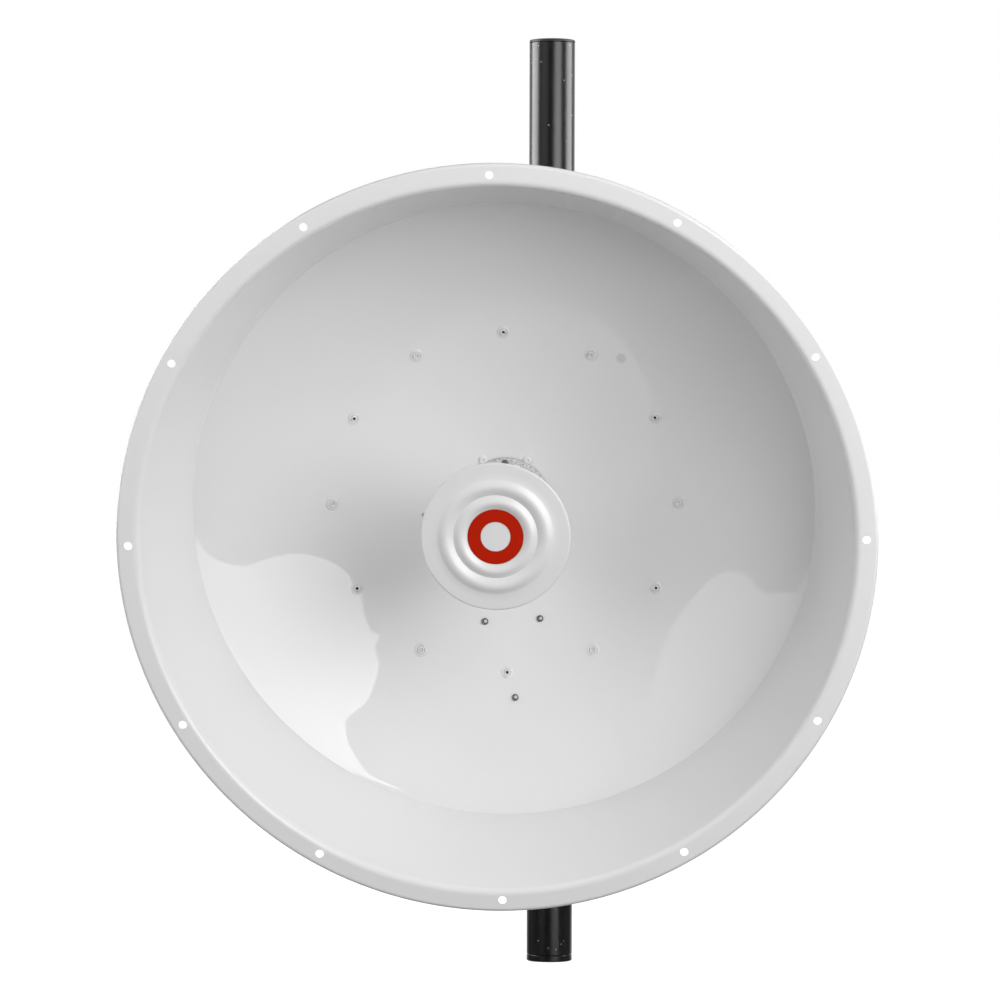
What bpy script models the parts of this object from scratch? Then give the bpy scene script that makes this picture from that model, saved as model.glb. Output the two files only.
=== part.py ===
"""A 0.65 m parabolic dish antenna on a round mast, built as an assembly of separate pieces.

Frame: metres, +Z up, origin at the centre of the mast's foot. The dish looks along -Y.
Dish pieces are modelled in the dish's own frame: x to the right as the dish is looked
into, y is the depth behind the front of the rim flange, z is up along the dish.
"""
import math

import bmesh
import bpy
from mathutils import Matrix

# Driving dimensions
SEAT_GAP = 0.0003               # clearance left between two pieces that touch
REFLECTOR_RADIUS = 0.325
SHEET = 0.002                   # aluminium sheet of the reflector
RIM_HOLE_CIRCLE = 0.3148
RIM_HOLE_RADIUS = 0.00365
RIM_HOLE_COUNT = 12
RIM_HOLE_PHASE = math.radians(0.7)
WALL_TOP_RADIUS = 0.3046        # where the steep wall runs into the flange bend
CREASE_RADIUS = 0.273           # where the shallow floor meets the steep wall
VERTEX_DEPTH = 0.196
FOUR_FOCAL_LENGTHS = 1.2736     # floor depth = vertex depth - radius squared over this
FEED_HOLE_RADIUS = 0.0222

DISH_TILT = math.radians(11.0)  # how far the dish looks down at rest
RIM_CENTRE_HEIGHT = 0.391
RIM_TO_MAST = 0.376             # rim centre to mast axis, measured level
MAST_OFFSET = 0.033             # the mast stands this far to the right of the dish axis
PIVOT_DEPTH = 0.291             # elevation pivot, behind the rim plane

MAST_RADIUS = 0.0212
MAST_WALL = 0.0026
MAST_LENGTH = 0.8556
PLUG_HEAD = 0.0025
FOOT_PLATE = 0.006

PLATE = 0.004                   # steel of the cheeks, lugs and tilt plate
TILT_PLATE_HALF_HEIGHT = 0.056
TILT_PLATE_CORNER = 0.010
PLATE_BOLT_SIDE = 0.036         # bolts of the tilt plate, from the dish axis
PLATE_BOLT_UP = 0.040
CHEEK_HALF_HEIGHT = 0.050
CHEEK_NOSE_RADIUS = 0.018
MAST_PLATE = 0.005
MAST_PLATE_BACK = 0.036         # mast axis to the back of the mast plate
MAST_PLATE_LEFT = -0.085
MAST_PLATE_RIGHT = 0.047
MAST_PLATE_HALF_HEIGHT = 0.070
MAST_PLATE_CORNER = 0.012
LUG_INNER = 0.0405              # dish axis to the inner face of each lug
CHEEK_INNER = 0.050             # dish axis to the inner face of each cheek
LOCK_REACH = 0.045              # lock bolts stand this far in front of the pivot
LUG_HALF_HEIGHT = 0.045
LUG_NOSE_RADIUS = 0.014
TILT_EACH_WAY = math.radians(15.0)

CLAMP_SPACING = 0.045           # each U-bolt above or below the pivot
ROD_RADIUS = 0.004              # M8 rod of the U-bolts and lock bolts
ROD_BEND_RADIUS = 0.0257
ROD_PAST_PLATE = 0.0150         # thread that stands out of each clamp nut's side
SADDLE_HALF_WIDTH = 0.037
SADDLE_HALF_HEIGHT = 0.011
SADDLE_SHOULDER_Y = -0.020
SADDLE_MOUTH_Y = -0.0130
SADDLE_MOUTH_HALF_WIDTH = 0.032
PIVOT_RADIUS = 0.005            # M10
HOLE_PLAY = 0.0005
CUT_OVER = 0.002                # a cutter stands this far past each face it cuts

WASHER = 0.0012
M6_WASHER_RADIUS = 0.0080
M8_WASHER_RADIUS = 0.0095
M10_WASHER_RADIUS = 0.0105
M8_HEX = 0.013                  # hexagons are given across their flats
M8_HEAD = 0.0053
M8_NUT = 0.0068
M10_HEX = 0.017
M10_HEAD = 0.0064
M10_NUT = 0.0080
THREAD_PAST_NUT = 0.0030
LOCK_SPACER_RADIUS = 0.009

PAN_RIM_RADIUS = 0.168
PAN_SHOULDER_RADIUS = 0.098
PAN_FLOOR_RADIUS = 0.086
PAN_FLOOR_DEPTH = 0.2125
PAN_SHEET = 0.0025
BODY_HOLE_RADIUS = 0.0325

FLANGE_RADIUS = 0.0385
TUBE_RADIUS = 0.0215
TUBE_BORE = 0.0195
TUBE_FRONT_DEPTH = 0.078
TUBE_BACK_DEPTH = 0.2000
CAP_RADIUS = 0.0644
CAP_FRONT_DEPTH = 0.0272
CAP_BRIM_DEPTH = 0.0288         # where the cap is widest, just behind its face
CAP_SKIRT_DEPTH = 0.0520
CAP_SKIRT_RADIUS = 0.0572       # the skirt narrows to this at its back edge
CAP_WALL = 0.0025
RING_OUTER = 0.0238
RING_INNER = 0.0130
BODY_RADIUS = 0.028
BODY_BACK_DEPTH = 0.240
CONNECTOR_SPACING = 0.0135

REFLECTOR_SIDES = 72
PAN_SIDES = 36
FEED_SIDES = 48
MAST_SIDES = 32
FASTENER_SIDES = 12
BORE_SIDES = 24

PIVOT_Y = -RIM_TO_MAST + PIVOT_DEPTH * math.cos(DISH_TILT)
PIVOT_Z = RIM_CENTRE_HEIGHT + PIVOT_DEPTH * math.sin(DISH_TILT)
PLATE_FRONT_Y = -MAST_PLATE_BACK - MAST_PLATE
PAN_BACK_DEPTH = PAN_FLOOR_DEPTH + PAN_SHEET
TILT_PLATE_BACK = PAN_BACK_DEPTH + SEAT_GAP + PLATE


def clear_scene():
    for leftover in list(bpy.data.objects):
        bpy.data.objects.remove(leftover, do_unlink=True)


def make_material(name, colour, roughness, metallic):
    material = bpy.data.materials.new(name)
    material.use_nodes = True
    shader = material.node_tree.nodes["Principled BSDF"]
    shader.inputs["Base Color"].default_value = (*colour, 1.0)
    shader.inputs["Roughness"].default_value = roughness
    shader.inputs["Metallic"].default_value = metallic
    return material


def dish_paint(name):
    return make_material(name, (0.72, 0.73, 0.74), 0.42, 0.0)


def mast_paint(name):
    return make_material(name, (0.012, 0.012, 0.013), 0.22, 0.0)


def zinc_steel(name):
    return make_material(name, (0.55, 0.56, 0.57), 0.45, 0.9)


def cast_aluminium(name):
    return make_material(name, (0.60, 0.61, 0.62), 0.55, 0.8)


def cap_plastic(name):
    return make_material(name, (0.74, 0.74, 0.73), 0.35, 0.0)


def red_paint(name):
    return make_material(name, (0.45, 0.012, 0.006), 0.38, 0.0)


def black_plastic(name):
    return make_material(name, (0.02, 0.02, 0.02), 0.5, 0.0)


def nickel_plate(name):
    return make_material(name, (0.66, 0.63, 0.58), 0.25, 1.0)


def add_object(name, mesh, finish, parent=None, location=(0, 0, 0)):
    """Put a finished mesh in the scene as one named piece with its own material."""
    piece = bpy.data.objects.new(name, mesh)
    bpy.context.scene.collection.objects.link(piece)
    mesh.materials.append(finish(name + "_finish"))
    piece.parent = parent
    piece.location = location
    return piece


def finish_mesh(name, work, smooth_angle=30.0):
    """Close a bmesh with its faces pointing out and round stretches shaded smooth."""
    bmesh.ops.remove_doubles(work, verts=work.verts, dist=1e-6)
    bmesh.ops.recalc_face_normals(work, faces=work.faces)
    mesh = bpy.data.meshes.new(name)
    work.to_mesh(mesh)
    work.free()
    mesh.shade_smooth()
    mesh.set_sharp_from_angle(angle=math.radians(smooth_angle))
    return mesh


def spun_mesh(name, profile, sides, axis="Y"):
    """Turn a closed outline of (radius, along) points round the Y or Z axis."""
    work = bmesh.new()
    if axis == "Y":
        corners = [work.verts.new((radius, along, 0.0)) for radius, along in profile]
        spin_axis = (0, 1, 0)
    else:
        corners = [work.verts.new((radius, 0.0, along)) for radius, along in profile]
        spin_axis = (0, 0, 1)
    edges = [work.edges.new((corners[i - 1], corners[i])) for i in range(len(corners))]
    on_axis = [edge for edge in edges if all(vert.co.xyz[0] < 1e-9 for vert in edge.verts)]
    for edge in on_axis:
        edges.remove(edge)
        work.edges.remove(edge)
    bmesh.ops.spin(work, geom=corners + edges, cent=(0, 0, 0), axis=spin_axis,
                   angle=2 * math.pi, steps=sides, use_merge=True)
    return finish_mesh(name, work)


def hexagon_radius(across_flats, angle):
    """Distance from the centre of a hexagon to its side, in one direction."""
    return 0.5 * across_flats / math.cos((angle + math.pi / 6) % (math.pi / 3) - math.pi / 6)


def stacked_mesh(name, stations, sides=FASTENER_SIDES, bore=None):
    """Build a fastener along +X from stations of (along, kind, size).

    The kind is hex, sized across its flats, or round, sized by radius. A bore goes
    right through at the given radius.
    """
    work = bmesh.new()
    rings = []
    if bore is not None:
        stations = [(stations[0][0], "round", bore)] + stations + [(stations[-1][0], "round", bore)]
    for along, kind, size in stations:
        ring = []
        for i in range(sides):
            angle = 2 * math.pi * i / sides
            radius = hexagon_radius(size, angle) if kind == "hex" else size
            ring.append(work.verts.new((along, radius * math.cos(angle), radius * math.sin(angle))))
        rings.append(ring)
    pairs = list(zip(rings, rings[1:]))
    if bore is not None:
        pairs.append((rings[-1], rings[0]))
    else:
        work.faces.new(rings[0])
        work.faces.new(rings[-1])
    for first, second in pairs:
        for i in range(sides):
            j = (i + 1) % sides
            work.faces.new((first[i], first[j], second[j], second[i]))
    return finish_mesh(name, work)


def arc_points(centre, radius, start, end, steps):
    """Points of an arc in a plane, from a start angle to an end angle."""
    turns = [start + (end - start) * i / steps for i in range(steps + 1)]
    return [(centre[0] + radius * math.cos(a), centre[1] + radius * math.sin(a)) for a in turns]


def extruded_mesh(name, outline, depth, to_place):
    """Extrude a flat outline of (a, b) points by a depth, then place it by a matrix."""
    work = bmesh.new()
    face = work.faces.new([work.verts.new((a, b, 0.0)) for a, b in outline])
    grown = bmesh.ops.extrude_face_region(work, geom=[face])
    moved = [item for item in grown["geom"] if isinstance(item, bmesh.types.BMVert)]
    bmesh.ops.translate(work, vec=(0, 0, depth), verts=moved)
    bmesh.ops.transform(work, matrix=to_place, verts=work.verts)
    return finish_mesh(name, work)


def cut_with(piece, name, shapes, parent, location=(0, 0, 0)):
    """Cut a set of closed shapes, held in one hidden cutter, out of a piece."""
    work = bmesh.new()
    for shape in shapes:
        work.from_mesh(shape)
    mesh = bpy.data.meshes.new(name)
    work.to_mesh(mesh)
    work.free()
    cutter = bpy.data.objects.new(name, mesh)
    bpy.context.scene.collection.objects.link(cutter)
    cutter.parent = parent
    cutter.location = location
    cutter.hide_render = True
    cutter.display_type = "WIRE"
    cut = piece.modifiers.new("cut", "BOOLEAN")
    cut.operation = "DIFFERENCE"
    cut.solver = "EXACT"
    cut.object = cutter


def rod_mesh(name, radius, start, end, direction, place=(0.0, 0.0), sides=BORE_SIDES):
    """A plain round rod along X, Y or Z, placed in the plane across that axis."""
    work = bmesh.new()
    turn = {"X": Matrix.Rotation(math.pi / 2, 4, "Y"),
            "Y": Matrix.Rotation(math.pi / 2, 4, "X"),
            "Z": Matrix.Identity(4)}[direction]
    middle = 0.5 * (start + end)
    centre = {"X": (middle, place[0], place[1]),
              "Y": (place[0], middle, place[1]),
              "Z": (place[0], place[1], middle)}[direction]
    bmesh.ops.create_cone(work, cap_ends=True, segments=sides, radius1=radius, radius2=radius,
                          depth=abs(end - start), matrix=Matrix.Translation(centre) @ turn)
    return finish_mesh(name, work)


def side_plane(inner_face):
    """Matrix that stands an outline of (y, z) points up in a plane of constant x."""
    return Matrix(((0, 0, 1, inner_face), (1, 0, 0, 0), (0, 1, 0, 0), (0, 0, 0, 1)))


def floor_depth(radius):
    return VERTEX_DEPTH - radius ** 2 / FOUR_FOCAL_LENGTHS


def floor_back_depth(radius):
    """Depth of the reflector's back under the floor, one sheet thickness behind it."""
    slope = 2 * radius / FOUR_FOCAL_LENGTHS
    return floor_depth(radius) + SHEET * math.sqrt(1 + slope ** 2)


def sheet_outline(front, thickness):
    """Close a pressed sheet's outline: its front line, and the same line set back."""
    back = []
    for i, (radius, depth) in enumerate(front):
        before = front[max(i - 1, 0)]
        after = front[min(i + 1, len(front) - 1)]
        run = []
        for a, b in ((before, (radius, depth)), ((radius, depth), after)):
            length = math.hypot(b[0] - a[0], b[1] - a[1])
            if length > 0:
                run.append(((b[0] - a[0]) / length, (b[1] - a[1]) / length))
        normals = [(-along[1], along[0]) for along in run]
        total = (sum(n[0] for n in normals), sum(n[1] for n in normals))
        size = math.hypot(*total)
        middle = (total[0] / size, total[1] / size)
        mitre = thickness / (middle[0] * normals[0][0] + middle[1] * normals[0][1])
        back.append((radius + middle[0] * mitre, depth + middle[1] * mitre))
    return front + back[::-1]


def reflector_front():
    """Front line of the reflector from the feed hole out to the rolled lip."""
    steps = 8
    span = CREASE_RADIUS - FEED_HOLE_RADIUS
    radii = [FEED_HOLE_RADIUS + span * i / steps for i in range(steps + 1)]
    line = [(radius, floor_depth(radius)) for radius in radii]
    line += [(WALL_TOP_RADIUS, 0.0060), (WALL_TOP_RADIUS + 0.0013, 0.0019), (0.3092, 0.0)]
    line += [(REFLECTOR_RADIUS - 0.0026, 0.0), (REFLECTOR_RADIUS - 0.0006, 0.0008)]
    line += [(REFLECTOR_RADIUS, 0.0026)]
    return line


def make_reflector(tilt_axis, dish_origin):
    mesh = spun_mesh("reflector", sheet_outline(reflector_front(), SHEET), REFLECTOR_SIDES)
    reflector = add_object("reflector", mesh, dish_paint, tilt_axis, dish_origin)
    holes = []
    for i in range(RIM_HOLE_COUNT):
        angle = math.pi / 2 + RIM_HOLE_PHASE + 2 * math.pi * i / RIM_HOLE_COUNT
        place = (RIM_HOLE_CIRCLE * math.cos(angle), RIM_HOLE_CIRCLE * math.sin(angle))
        holes.append(rod_mesh("rim_hole", RIM_HOLE_RADIUS, -0.004, 0.006, "Y", place, 12))
    cut_with(reflector, "rim_holes", holes, tilt_axis, dish_origin)


def make_mounting_pan(tilt_axis, dish_origin):
    """Pressed pan riveted to the dish's back: a curved rim and a flat floor behind it."""
    steps = 4
    span = PAN_RIM_RADIUS - PAN_SHOULDER_RADIUS
    line = [(BODY_HOLE_RADIUS, PAN_FLOOR_DEPTH), (PAN_FLOOR_RADIUS, PAN_FLOOR_DEPTH)]
    for i in range(steps + 1):
        radius = PAN_SHOULDER_RADIUS + span * i / steps
        line.append((radius, floor_back_depth(radius) + SEAT_GAP + 0.0001))
    mesh = spun_mesh("mounting_pan", sheet_outline(line, PAN_SHEET), PAN_SIDES)
    add_object("mounting_pan", mesh, zinc_steel, tilt_axis, dish_origin)


def make_feed(tilt_axis, dish_origin):
    """The feed on the dish's axis: flange, tube, cone, cap, marker, body, connectors."""
    def dish_piece(name, profile, finish, sides=FEED_SIDES):
        return add_object(name, spun_mesh(name, profile, sides), finish, tilt_axis, dish_origin)

    seat = floor_depth(FLANGE_RADIUS) - SEAT_GAP
    collar = TUBE_RADIUS + SEAT_GAP
    dish_piece("feed_flange", [(collar, seat), (FLANGE_RADIUS, seat), (FLANGE_RADIUS, seat - 0.004),
                               (FLANGE_RADIUS - 0.001, seat - 0.005), (0.0275, seat - 0.005),
                               (0.0258, seat - 0.013), (collar, seat - 0.013)], cast_aluminium)
    dish_piece("feed_tube", [(TUBE_BORE, TUBE_FRONT_DEPTH), (TUBE_RADIUS, TUBE_FRONT_DEPTH),
                             (TUBE_RADIUS, TUBE_BACK_DEPTH), (TUBE_BORE, TUBE_BACK_DEPTH)],
               cast_aluminium)

    low, high = CAP_SKIRT_DEPTH - 0.010, CAP_SKIRT_DEPTH - 0.002
    inset = CAP_WALL + SEAT_GAP
    mouth = TUBE_FRONT_DEPTH - SEAT_GAP
    spigot = TUBE_BORE - SEAT_GAP
    dish_piece("feed_cone", [(0.0, low), (skirt_radius(low) - inset, low),
                             (skirt_radius(high) - inset, high), (0.0500, CAP_SKIRT_DEPTH + 0.002),
                             (0.0250, mouth), (spigot, mouth), (spigot, mouth + 0.012),
                             (0.0, mouth + 0.012)], cap_plastic)

    make_cap(dish_piece)
    face = CAP_FRONT_DEPTH
    dish_piece("marker_ring", [(RING_INNER, face), (RING_OUTER, face),
                               (RING_OUTER, face + 0.001), (RING_INNER, face + 0.001)], red_paint)
    edge = RING_INNER - SEAT_GAP
    dish_piece("marker_disc", [(0.0, face), (edge, face), (edge, face + 0.001), (0.0, face + 0.001)],
               cap_plastic)

    front = TUBE_BACK_DEPTH + SEAT_GAP
    dish_piece("feed_body", [(0.0, front), (BODY_RADIUS, front), (BODY_RADIUS, BODY_BACK_DEPTH - 0.002),
                             (BODY_RADIUS - 0.002, BODY_BACK_DEPTH), (0.0, BODY_BACK_DEPTH)],
               cast_aluminium, 32)
    start = BODY_BACK_DEPTH + SEAT_GAP
    for name, side in (("connector_left", -1), ("connector_right", 1)):
        profile = [(0.0, start), (0.0105, start), (0.0105, start + 0.003), (0.0078, start + 0.004),
                   (0.0078, start + 0.016), (0.0068, start + 0.017), (0.0068, start + 0.009),
                   (0.0022, start + 0.009), (0.0022, start + 0.015), (0.0, start + 0.015)]
        x, y, z = dish_origin
        add_object(name, spun_mesh(name, profile, 16), nickel_plate, tilt_axis,
                   (x + side * CONNECTOR_SPACING, y, z))


def skirt_radius(depth):
    """Outer radius of the cap's skirt, which narrows from the brim to its back edge."""
    share = (depth - CAP_BRIM_DEPTH) / (CAP_SKIRT_DEPTH - CAP_BRIM_DEPTH)
    return CAP_RADIUS + (CAP_SKIRT_RADIUS - CAP_RADIUS) * share


def make_cap(dish_piece):
    """Cap of the feed: a flat middle with a recess, two round ridges, a brim and a skirt."""
    face = CAP_FRONT_DEPTH
    line = [(0.0, face + 0.001 + SEAT_GAP), (RING_OUTER + SEAT_GAP, face + 0.001 + SEAT_GAP),
            (RING_OUTER + SEAT_GAP, face)]
    for inner, outer, height in ((0.0243, 0.0363, 0.0026), (0.0363, 0.0519, 0.0030)):
        steps = 6
        for i in range(1, steps + 1):
            share = i / steps
            radius = inner + (outer - inner) * share
            line.append((radius, face - height * math.sin(math.pi * share) ** 0.8
                         if i < steps else face))
    line += [(CAP_RADIUS - 0.0014, face + 0.0002), (CAP_RADIUS - 0.0003, face + 0.0007),
             (CAP_RADIUS, CAP_BRIM_DEPTH), (CAP_SKIRT_RADIUS, CAP_SKIRT_DEPTH)]
    lid = face + 0.0045
    corner = skirt_radius(lid + 0.002) - CAP_WALL
    line += [(CAP_SKIRT_RADIUS - CAP_WALL, CAP_SKIRT_DEPTH), (corner, lid + 0.002),
             (corner - 0.002, lid), (0.0, lid)]
    dish_piece("feed_cap", line, cap_plastic)


def make_tilt_bracket(tilt_axis, dish_origin):
    """Plate bolted to the pan's floor and the two slotted cheeks welded to it."""
    half_width = CHEEK_INNER + PLATE
    half_height = TILT_PLATE_HALF_HEIGHT
    corner = TILT_PLATE_CORNER
    outline = []
    for sign_x, sign_z, start in ((1, 1, 0), (-1, 1, 1), (-1, -1, 2), (1, -1, 3)):
        centre = (sign_x * (half_width - corner), sign_z * (half_height - corner))
        quarter = math.pi / 2
        outline += arc_points(centre, corner, start * quarter, (start + 1) * quarter, 4)
    flat = Matrix(((1, 0, 0, 0), (0, 0, 1, PAN_BACK_DEPTH + SEAT_GAP), (0, 1, 0, 0), (0, 0, 0, 1)))
    mesh = extruded_mesh("tilt_plate", outline, PLATE, flat)
    plate = add_object("tilt_plate", mesh, zinc_steel, tilt_axis, dish_origin)
    cut_with(plate, "tilt_plate_hole",
             [rod_mesh("hole", BODY_HOLE_RADIUS, PAN_BACK_DEPTH - CUT_OVER, TILT_PLATE_BACK + CUT_OVER,
                       "Y", sides=FEED_SIDES)],
             tilt_axis, dish_origin)

    foot = TILT_PLATE_BACK + SEAT_GAP
    nose_turn = math.radians(70)
    nose = arc_points((PIVOT_DEPTH, 0.0), CHEEK_NOSE_RADIUS, -nose_turn, nose_turn, 10)
    cheek = [(foot, -CHEEK_HALF_HEIGHT)] + nose + [(foot, CHEEK_HALF_HEIGHT)]
    for name, inner in (("tilt_cheek_left", -CHEEK_INNER - PLATE), ("tilt_cheek_right", CHEEK_INNER)):
        mesh = extruded_mesh(name, cheek, PLATE, side_plane(inner))
        piece = add_object(name, mesh, zinc_steel, tilt_axis, dish_origin)
        before, past = inner - CUT_OVER, inner + PLATE + CUT_OVER
        pivot = rod_mesh("pivot", PIVOT_RADIUS + HOLE_PLAY, before, past, "X", (PIVOT_DEPTH, 0.0))
        slot = extruded_mesh("slot", slot_outline(), past - before, side_plane(before))
        cut_with(piece, name + "_holes", [pivot, slot], tilt_axis, dish_origin)


def slot_outline():
    """Curved slot round the pivot that lets a lock bolt pass while the dish tilts."""
    half_width = ROD_RADIUS + HOLE_PLAY
    sweep = TILT_EACH_WAY + math.radians(1.0)
    centre = (PIVOT_DEPTH, 0.0)
    low, high = math.pi - sweep, math.pi + sweep
    steps = 8
    outer = arc_points(centre, LOCK_REACH + half_width, low, high, steps)
    inner = arc_points(centre, LOCK_REACH - half_width, high, low, steps)
    ends = []
    for angle, start in ((high, high), (low, low + math.pi)):
        tip = (PIVOT_DEPTH + LOCK_REACH * math.cos(angle), LOCK_REACH * math.sin(angle))
        ends.append(arc_points(tip, half_width, start, start + math.pi, 6)[1:-1])
    return outer + ends[0] + inner + ends[1]


def make_tilt_plate_bolts(tilt_axis, dish_origin):
    """Four hex bolts that hold the tilt plate on the pan."""
    head = TILT_PLATE_BACK + SEAT_GAP
    top = head + WASHER
    stations = [(head, "round", M6_WASHER_RADIUS), (top, "round", M6_WASHER_RADIUS),
                (top, "hex", M8_HEX), (top + M8_HEAD, "hex", M8_HEX)]
    names = ("plate_bolt_top_left", "plate_bolt_top_right",
             "plate_bolt_bottom_left", "plate_bolt_bottom_right")
    turns = ((-1, 1), (1, 1), (-1, -1), (1, -1))
    for name, (side, up) in zip(names, turns):
        mesh = stacked_mesh(name, stations)
        mesh.transform(Matrix.Rotation(math.pi / 2, 4, "Z"))
        x, y, z = dish_origin
        add_object(name, mesh, zinc_steel, tilt_axis,
                   (x + side * PLATE_BOLT_SIDE, y, z + up * PLATE_BOLT_UP))


def make_mast():
    """Round steel tube, closed by a welded steel disc at its foot and a plug at its top."""
    inner = MAST_RADIUS - MAST_WALL
    spigot = inner - SEAT_GAP
    low = FOOT_PLATE + SEAT_GAP
    high = MAST_LENGTH - PLUG_HEAD - SEAT_GAP
    tube = [(inner, low), (MAST_RADIUS, low), (MAST_RADIUS, high), (inner, high)]
    add_object("mast_tube", spun_mesh("mast_tube", tube, MAST_SIDES, "Z"), mast_paint)
    foot = [(0.0, 0.0), (MAST_RADIUS, 0.0), (MAST_RADIUS, FOOT_PLATE), (spigot, FOOT_PLATE),
            (spigot, FOOT_PLATE + 0.004), (0.0, FOOT_PLATE + 0.004)]
    add_object("mast_foot_plate", spun_mesh("mast_foot_plate", foot, MAST_SIDES, "Z"), mast_paint)
    plug = [(0.0, 0.0), (MAST_RADIUS, 0.0), (MAST_RADIUS, -PLUG_HEAD), (spigot, -PLUG_HEAD),
            (spigot, -0.018), (0.0, -0.018)]
    add_object("mast_top_plug", spun_mesh("mast_top_plug", plug, MAST_SIDES, "Z"), black_plastic,
               location=(0, 0, MAST_LENGTH))


def make_mast_plate(turn_axis):
    """Flat plate in front of the mast, drilled for the U-bolts."""
    left, right, tall = MAST_PLATE_LEFT, MAST_PLATE_RIGHT, MAST_PLATE_HALF_HEIGHT
    corner = MAST_PLATE_CORNER
    quarter = math.pi / 2
    outline = []
    for x, z, start in ((right - corner, tall - corner, 0), (left + corner, tall - corner, 1),
                        (left + corner, corner - tall, 2), (right - corner, corner - tall, 3)):
        outline += arc_points((x, z), corner, start * quarter, (start + 1) * quarter, 4)
    upright = Matrix(((1, 0, 0, 0), (0, 0, 1, PLATE_FRONT_Y), (0, 1, 0, 0), (0, 0, 0, 1)))
    mesh = extruded_mesh("mast_plate", outline, MAST_PLATE, upright)
    plate = add_object("mast_plate", mesh, zinc_steel, turn_axis)
    holes = [rod_mesh("hole", ROD_RADIUS + HOLE_PLAY, PLATE_FRONT_Y - CUT_OVER,
                      -MAST_PLATE_BACK + CUT_OVER, "Y", (side * ROD_BEND_RADIUS, up * CLAMP_SPACING))
             for side in (-1, 1) for up in (-1, 1)]
    cut_with(plate, "mast_plate_holes", holes, turn_axis)


def make_lugs(turn_axis):
    """Two lugs welded to the front of the mast plate, one on each side of the dish axis."""
    root = PLATE_FRONT_Y - SEAT_GAP
    tip = (PIVOT_Y - LOCK_REACH, 0.0)
    nose = arc_points(tip, LUG_NOSE_RADIUS, math.radians(110), math.radians(250), 10)
    outline = [(root, LUG_HALF_HEIGHT)] + nose + [(root, -LUG_HALF_HEIGHT)]
    left_lug = -MAST_OFFSET - LUG_INNER - PLATE
    for name, inner in (("lug_left", left_lug), ("lug_right", LUG_INNER - MAST_OFFSET)):
        mesh = extruded_mesh(name, outline, PLATE, side_plane(inner))
        piece = add_object(name, mesh, zinc_steel, turn_axis)
        before, past = inner - CUT_OVER, inner + PLATE + CUT_OVER
        pivot = rod_mesh("pivot", PIVOT_RADIUS + HOLE_PLAY, before, past, "X", (PIVOT_Y, 0.0))
        lock = rod_mesh("lock", ROD_RADIUS + HOLE_PLAY, before, past, "X", tip)
        cut_with(piece, name + "_holes", [pivot, lock], turn_axis)


def make_mast_clamps(turn_axis):
    """V-shaped saddles, U-bolts round the mast and the nuts that pull them tight."""
    reach = MAST_RADIUS + SEAT_GAP
    apex = -reach * math.sqrt(2)
    mouth = SADDLE_MOUTH_Y
    lip = SADDLE_MOUTH_HALF_WIDTH
    shoulder = SADDLE_SHOULDER_Y
    back = -MAST_PLATE_BACK + SEAT_GAP
    half_width = SADDLE_HALF_WIDTH
    outline = [(-half_width, back), (half_width, back), (half_width, shoulder), (lip, mouth),
               (mouth - apex, mouth), (0.0, apex), (apex - mouth, mouth), (-lip, mouth),
               (-half_width, shoulder)]
    level = Matrix.Translation((0, 0, -SADDLE_HALF_HEIGHT))
    nut = [(0.0, "round", M8_WASHER_RADIUS), (WASHER, "round", M8_WASHER_RADIUS),
           (WASHER, "hex", M8_HEX), (WASHER + M8_NUT, "hex", M8_HEX)]
    for part, up in (("lower", -1), ("upper", 1)):
        height = up * CLAMP_SPACING
        mesh = extruded_mesh("saddle_" + part, outline, 2 * SADDLE_HALF_HEIGHT, level)
        saddle = add_object("saddle_" + part, mesh, cast_aluminium, turn_axis, (0, 0, height))
        bores = [rod_mesh("bore", ROD_RADIUS + HOLE_PLAY, back - CUT_OVER, 0.0, "Y",
                          (side * ROD_BEND_RADIUS, 0.0), 16) for side in (-1, 1)]
        cut_with(saddle, "saddle_bores_" + part, bores, turn_axis, (0, 0, height))
        make_u_bolt("u_bolt_" + part, turn_axis, height)
        for side_name, side in (("left", -1), ("right", 1)):
            name = "clamp_nut_" + part + "_" + side_name
            mesh = stacked_mesh(name, nut, bore=ROD_RADIUS + HOLE_PLAY)
            mesh.transform(Matrix.Rotation(-math.pi / 2, 4, "Z"))
            add_object(name, mesh, zinc_steel, turn_axis,
                       (side * ROD_BEND_RADIUS, PLATE_FRONT_Y - SEAT_GAP, height))


def make_u_bolt(name, turn_axis, height):
    curve = bpy.data.curves.new(name, "CURVE")
    curve.dimensions = "3D"
    curve.bevel_depth = ROD_RADIUS
    curve.bevel_resolution = 4
    curve.use_fill_caps = True
    tip = PLATE_FRONT_Y - ROD_PAST_PLATE
    bend = arc_points((0.0, 0.0), ROD_BEND_RADIUS, 0.0, math.pi, 20)
    route = [(ROD_BEND_RADIUS, tip)] + bend + [(-ROD_BEND_RADIUS, tip)]
    spline = curve.splines.new("POLY")
    spline.points.add(len(route) - 1)
    for point, (x, y) in zip(spline.points, route):
        point.co = (x, y, 0.0, 1.0)
    add_object(name, curve, zinc_steel, turn_axis, (0, 0, height))


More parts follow.
